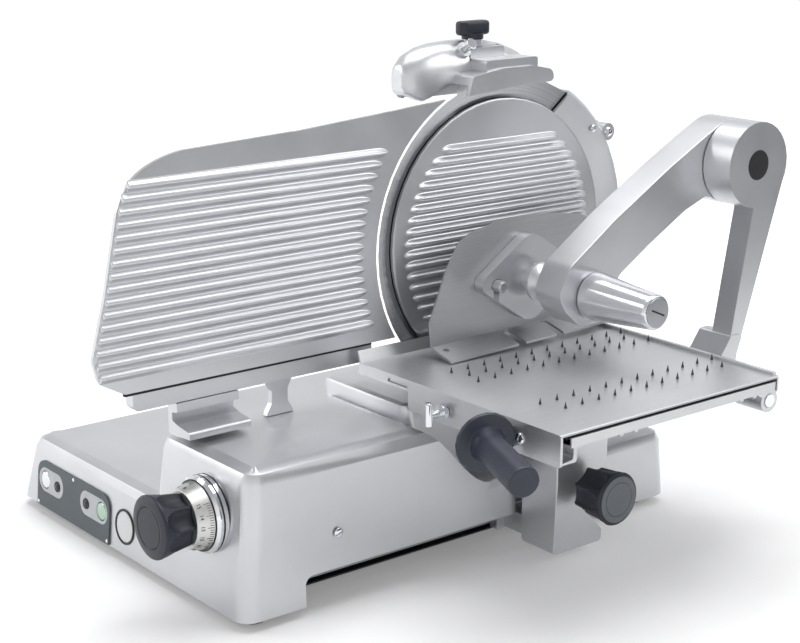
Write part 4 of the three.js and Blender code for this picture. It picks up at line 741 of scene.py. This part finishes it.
def number(value, turn):
    """The built-in letter shapes, laid flat on the cone with their heads to the back."""
    text = bpy.data.curves.new("number", "FONT")
    text.body, text.size, text.extrude = str(value), NUMBER_HEIGHT, INK_HEIGHT
    text.align_x, text.align_y = "CENTER", "CENTER"
    holder = bpy.data.objects.new("number", text)
    flat = bpy.data.meshes.new_from_object(holder)
    middle = on_scale(turn, NUMBER_MIDDLE, INK_HEIGHT / 2)
    right = on_scale(turn, NUMBER_MIDDLE, 0, 1) - on_scale(turn, NUMBER_MIDDLE)
    head = on_scale(turn, 0.0) - on_scale(turn, 1.0)
    head /= np.linalg.norm(head)
    outward = on_scale(turn, NUMBER_MIDDLE, 1) - on_scale(turn, NUMBER_MIDDLE)
    points = np.array([middle + corner.co.x * right + corner.co.y * head + corner.co.z * outward
                       for corner in flat.vertices])
    faces = [list(polygon.vertices) for polygon in flat.polygons]
    bpy.data.objects.remove(holder)
    return points, faces


marks = []
for i in range(TICKS + 1):
    turn = SCALE_TURN * i / TICKS
    numbered = i % TICKS_PER_NUMBER == 0
    marks.append(tick(turn, LONG_TICK if numbered else SHORT_TICK))
    if numbered:
        marks.append(number(i // TICKS_PER_NUMBER, turn))
add_piece("dial_marks", "dial", ink_and_slot_shade, marks)
print("marks", len(marks))


# %% [markdown]
# ## Dark lines round the dial's flange
# Two of them lie round the flange's side and one on its face. Each is a thin ring that stands a
# hair proud of the metal, as painted shade where the flange has its grooves.

# %% Flange lines
HOOP_STEPS = 97


def hoop(y, radius, half_width, inside):
    """A thin ring round the dial's axis, at a depth, with a four-cornered section."""
    axis, side, up = across((0, 1, 0))
    section = [(radius - inside, half_width), (radius, half_width),
               (radius, -half_width), (radius - inside, -half_width)]
    rings = []
    for turn in np.linspace(0, 2 * np.pi, HOOP_STEPS):
        outward = math.cos(turn) * side + math.sin(turn) * up
        rings.append([np.array([DIAL_X, y, DIAL_Z]) + out * outward + along * axis
                      for out, along in section])
    return skin(rings)


FLANGE_FRONT_Y, FLANGE_RADIUS, FACE_LINE_RADIUS = -439, 38.5, 35.6
SIDE_LINES, LINE_PROUD = (7, 13), 0.05
hoops = [hoop(FLANGE_FRONT_Y + along, FLANGE_RADIUS + LINE_PROUD, half_width=0.75, inside=1.0)
         for along in SIDE_LINES]
hoops.append(hoop(FLANGE_FRONT_Y - 0.5, FACE_LINE_RADIUS, half_width=0.45, inside=1.6))
# Painted shade: black rings for the shadow in the flange's grooves.
add_piece("flange_groove_painted_shade", "machine", black_paint, hoops)

# %% [markdown]
# ## Lamps, rivets and the blank badge
# They sit on the casing's front, which leans back, so a point of it is easiest to say as the
# distance across, up the slope and out from it.

# %% On the leaning front
FRONT_LEAN = math.atan(0.082)
FRONT_FOOT = np.array([0, -434.3, 10])
UP_THE_FRONT = np.array([0, math.sin(FRONT_LEAN), math.cos(FRONT_LEAN)])
OUT_OF_FRONT = np.array([0, -math.cos(FRONT_LEAN), math.sin(FRONT_LEAN)])
PANEL_PROUD = 1.8
LAMPS_X, LAMPS_UP, LENS_RADIUS, LENS_RISE = (-239, -174), 32.5, 4.2, 1.9
RIVET_PLACES = ((-203.4, 50.6), (-281.5, 4.4), (-127.6, 4.6))
RIVET_RADIUS, RIVET_RISE = 2.1, 1.0


def on_front(x, up, out=0.0):
    """A point of the leaning front, from its foot."""
    return FRONT_FOOT + np.array([x, 0, 0]) + up * UP_THE_FRONT + out * OUT_OF_FRONT


bezel_profile = eased([(-SUNK, 6, 0), (0.9, 6, 0.5), (0.9, 4.4, 0.3), (0.2, 4.3, 0)])
lenses, bezels = [], []
for x in LAMPS_X:
    seat = on_front(x, LAMPS_UP, PANEL_PROUD)
    bezels.append(skin(turned(seat, OUT_OF_FRONT, bezel_profile, steps=32)))
    lenses.append(skin(turned(seat, OUT_OF_FRONT, dome(LENS_RADIUS, LENS_RISE), steps=32)))
add_piece("lamp_bezels", "machine", black_paint, bezels)
add_piece("lamp_lenses", "machine", unlit_lens, lenses)

rivet_profile = dome(RIVET_RADIUS, RIVET_RISE)
rivets = [skin(turned(on_front(x, up, PANEL_PROUD), OUT_OF_FRONT, rivet_profile, steps=20))
          for x, up in RIVET_PLACES]
add_piece("panel_rivets", "machine", chrome, rivets)

BADGE_X, BADGE_UP, BADGE_RADIUS, BADGE_RISE = -94, 30.5, 19, 1.2
badge_seat = on_front(BADGE_X, BADGE_UP)
rim_profile = eased([(-SUNK, BADGE_RADIUS, 0), (1.1, BADGE_RADIUS, 0.6), (1.1, BADGE_RADIUS - 2.2, 0.5),
                     (0.2, BADGE_RADIUS - 2.4, 0)])
add_piece("badge_rim", "machine", black_paint,
          [skin(turned(badge_seat, OUT_OF_FRONT, rim_profile, steps=64))])
add_piece("blank_badge", "machine", white_enamel,
          [skin(turned(badge_seat, OUT_OF_FRONT, dome(BADGE_RADIUS - 2.3, BADGE_RISE), steps=64))])

# %% [markdown]
# ## Screw heads
# A slotted head is a low dome with a straight cut across it. The cut lowers the points that lie
# within half its width of a line through the middle.

# %% Screws
HEAD_WALL_SHARE, SLOT_HALF_SHARE, SLOT_DEPTH_SHARE = 0.35, 0.13, 0.6
SCREW_CREASE = 30


def slotted_head(place, axis, radius, height, slot_turn):
    """A screw head: a short wall, a dome that is an ellipse in section, and a slot across it."""
    slot_half_width, slot_depth = SLOT_HALF_SHARE * radius, SLOT_DEPTH_SHARE * height

    def rise(along, out, turn):
        """Lowers the points of the dome that lie in the slot."""
        beside = np.abs(out * np.sin(turn - slot_turn))
        return np.where((beside < slot_half_width) & (along > slot_depth), along - slot_depth, along)

    profile = [(-SUNK, radius)]
    for share in np.linspace(1, 0.01, 16):
        dome_share = HEAD_WALL_SHARE + (1 - HEAD_WALL_SHARE) * math.sqrt(1 - share * share)
        profile.append((height * dome_share, radius * share))
    return skin(turned(place, axis, profile, steps=72, rise=rise))


LUG_RADIUS, LUG_FACE_X, LUG_TURNS = 186, 9, (32.5, -21)
CASING_SCREW, GUARD_SCREW, SKIRT_SCREW = (132, -322, 78), (10.8, 130.8, 416.6), (263, -205.1, 185)
screws = []
for lug_turn in map(math.radians, LUG_TURNS):
    lug_y = LUG_RADIUS * math.cos(lug_turn)
    lug_z = BLADE_AXIS_HEIGHT + LUG_RADIUS * math.sin(lug_turn)
    lug = (LUG_FACE_X, lug_y, lug_z)
    screws.append(slotted_head(lug, TO_CARRIAGE, radius=5.5, height=2.6, slot_turn=0.9))
screws.append(slotted_head(CASING_SCREW, TO_CARRIAGE, radius=5, height=2.2, slot_turn=0.4))
screws.append(slotted_head(GUARD_SCREW, TO_CARRIAGE, radius=4, height=1.8, slot_turn=0.2))
add_piece("casing_screws", "machine", chrome, screws, SCREW_CREASE)
skirt_screw = slotted_head(SKIRT_SCREW, TO_OPERATOR, radius=5.5, height=2.4, slot_turn=1.3)
add_piece("skirt_screw", "meat_table", chrome, [skirt_screw], SCREW_CREASE)
print("screws", len(screws) + 1)

# %% [markdown]
# ## Floor, world and lamps
# The machine stands on a white studio floor that runs out to the horizon. The floor gives off some
# light of its own to the camera, to metal and to glass, more of it further away, so that the
# picture's ground is white while the shadow stays in it. The world is a dome that is white low down,
# where level metal mirrors it, and darker overhead. A dark card that only metal can see stands low at
# the right, as photographers put one there to draw the form of upright metal faces.

# %% Floor
FLOOR_HALF = 30.0
NEAR_GLOW, FAR_GLOW, GLOW_FROM, GLOW_TO = 0.2, 0.75, 0.42, 1.7


def background_ray(material):
    """One for a ray that comes from the camera, a mirror or glass, and zero for other rays."""
    path = add_node(material, "ShaderNodeLightPath")
    seen = add_node(material, "ShaderNodeMath", {"operation": "MAXIMUM"}, links={
        0: path.outputs["Is Camera Ray"], 1: path.outputs["Is Glossy Ray"]})
    seen = add_node(material, "ShaderNodeMath", {"operation": "MAXIMUM"}, links={
        0: seen.outputs[0], 1: path.outputs["Is Transmission Ray"]})
    return seen.outputs[0]


def white_floor():
    """White paper that scatters light, plus the glow that grows with the distance from the middle."""
    material = bpy.data.materials.new("white_studio_floor")
    material.use_nodes = True
    material.node_tree.nodes.clear()
    vector = object_pattern(material)
    speckle = noise(material, vector, 40, 2.0)
    paper = add_node(material, "ShaderNodeBsdfDiffuse", links={
        "Color": two_colours(material, speckle, "#eaeaea", "#ededed")})
    distance = add_node(material, "ShaderNodeVectorMath", {"operation": "LENGTH"}, links={0: vector})
    glow = between(material, distance.outputs["Value"], NEAR_GLOW, FAR_GLOW, GLOW_FROM, GLOW_TO)
    own_light = add_node(material, "ShaderNodeMath", {"operation": "MULTIPLY"},
                         links={0: glow, 1: background_ray(material)})
    lit = add_node(material, "ShaderNodeEmission", links={"Strength": own_light.outputs[0]})
    both = add_node(material, "ShaderNodeAddShader", links={0: paper.outputs[0], 1: lit.outputs[0]})
    add_node(material, "ShaderNodeOutputMaterial", links={"Surface": both.outputs[0]})
    return material


def flat_sheet(name, corners, material):
    """A four-cornered sheet that belongs to the studio and not to the object."""
    mesh = bpy.data.meshes.new(name)
    mesh.from_pydata([tuple(corner) for corner in corners], [], [(0, 1, 2, 3)])
    made = bpy.data.objects.new(name, mesh)
    bpy.context.scene.collection.objects.link(made)
    paint(made, material)
    return made


flat_sheet("studio_floor", [(-FLOOR_HALF, -FLOOR_HALF, 0), (FLOOR_HALF, -FLOOR_HALF, 0),
                            (FLOOR_HALF, FLOOR_HALF, 0), (-FLOOR_HALF, FLOOR_HALF, 0)], white_floor())

# %% Dark card
CARD_DISTANCE, CARD_HALF_WIDTH, CARD_LOW, CARD_HIGH = 1.25, 1.3, 0.0, 0.72
card_cloth = moulded("dark_card_cloth", "#626367", "#5c5d61", 0.9, 2.0, 0.0)
card_out = np.array([math.sin(CAMERA_AZIMUTH), math.cos(CAMERA_AZIMUTH), 0])
card_along = np.array([-card_out[1], card_out[0], 0])
card_foot = MACHINE_ORIGIN + card_out * CARD_DISTANCE
card = flat_sheet("dark_card", [
    card_foot + card_along * side * CARD_HALF_WIDTH + np.array([0, 0, high])
    for side, high in ((-1, CARD_LOW), (1, CARD_LOW), (1, CARD_HIGH), (-1, CARD_HIGH))], card_cloth)
card.visible_camera = False
card.visible_diffuse = False
card.visible_shadow = False

# %% World
DOME_COLOURS = {0.0: "#ffffff", 0.3: "#f4f4f5", 0.6: "#b9babd", 1.0: "#c9cacd"}
ROOM_LIGHT = 0.55

world = bpy.data.worlds.new("studio_dome")
bpy.context.scene.world = world
world.use_nodes = True
world.node_tree.nodes.clear()
direction = add_node(world, "ShaderNodeTexCoord")
height = add_node(world, "ShaderNodeSeparateXYZ", links={"Vector": direction.outputs["Generated"]})
dome_ramp = add_node(world, "ShaderNodeValToRGB", links={"Fac": height.outputs["Z"]})
while len(dome_ramp.color_ramp.elements) < len(DOME_COLOURS):
    dome_ramp.color_ramp.elements.new(0.5)
for stop, (position, colour) in zip(dome_ramp.color_ramp.elements, DOME_COLOURS.items()):
    stop.position = position
    stop.color = linear(colour)
strength = between(world, background_ray(world), ROOM_LIGHT, 1.0, 0, 1)
sky = add_node(world, "ShaderNodeBackground",
               links={"Color": dome_ramp.outputs["Color"], "Strength": strength})
add_node(world, "ShaderNodeOutputWorld", links={"Surface": sky.outputs["Background"]})


# %% Lamps
LAMP_AIM = Vector(at(0, -60, 200))
SOFT_BOXES = {
    "overhead_box": {"away": (-0.2, 0.3, 2.4), "size": (2.4, 1.8), "watts": 54},
    "left_box": {"away": (-2.0, -2.2, 1.3), "size": (1.4, 1.6), "watts": 26},
    "right_box": {"away": (1.7, 1.5, 1.25), "size": (1.5, 1.2), "watts": 15},
}


def soft_box(name, away, size, watts):
    """A rectangular lamp that far away from the point it faces."""
    lamp = bpy.data.lights.new(name, "AREA")
    lamp.shape = "RECTANGLE"
    lamp.size, lamp.size_y = size
    lamp.energy = watts
    made = bpy.data.objects.new(name, lamp)
    made.location = LAMP_AIM + Vector(away)
    made.rotation_mode = "QUATERNION"
    made.rotation_quaternion = (LAMP_AIM - made.location).to_track_quat("-Z", "Y")
    bpy.context.scene.collection.objects.link(made)


for name, box in SOFT_BOXES.items():
    soft_box(name, **box)
print("lamps", len(SOFT_BOXES))
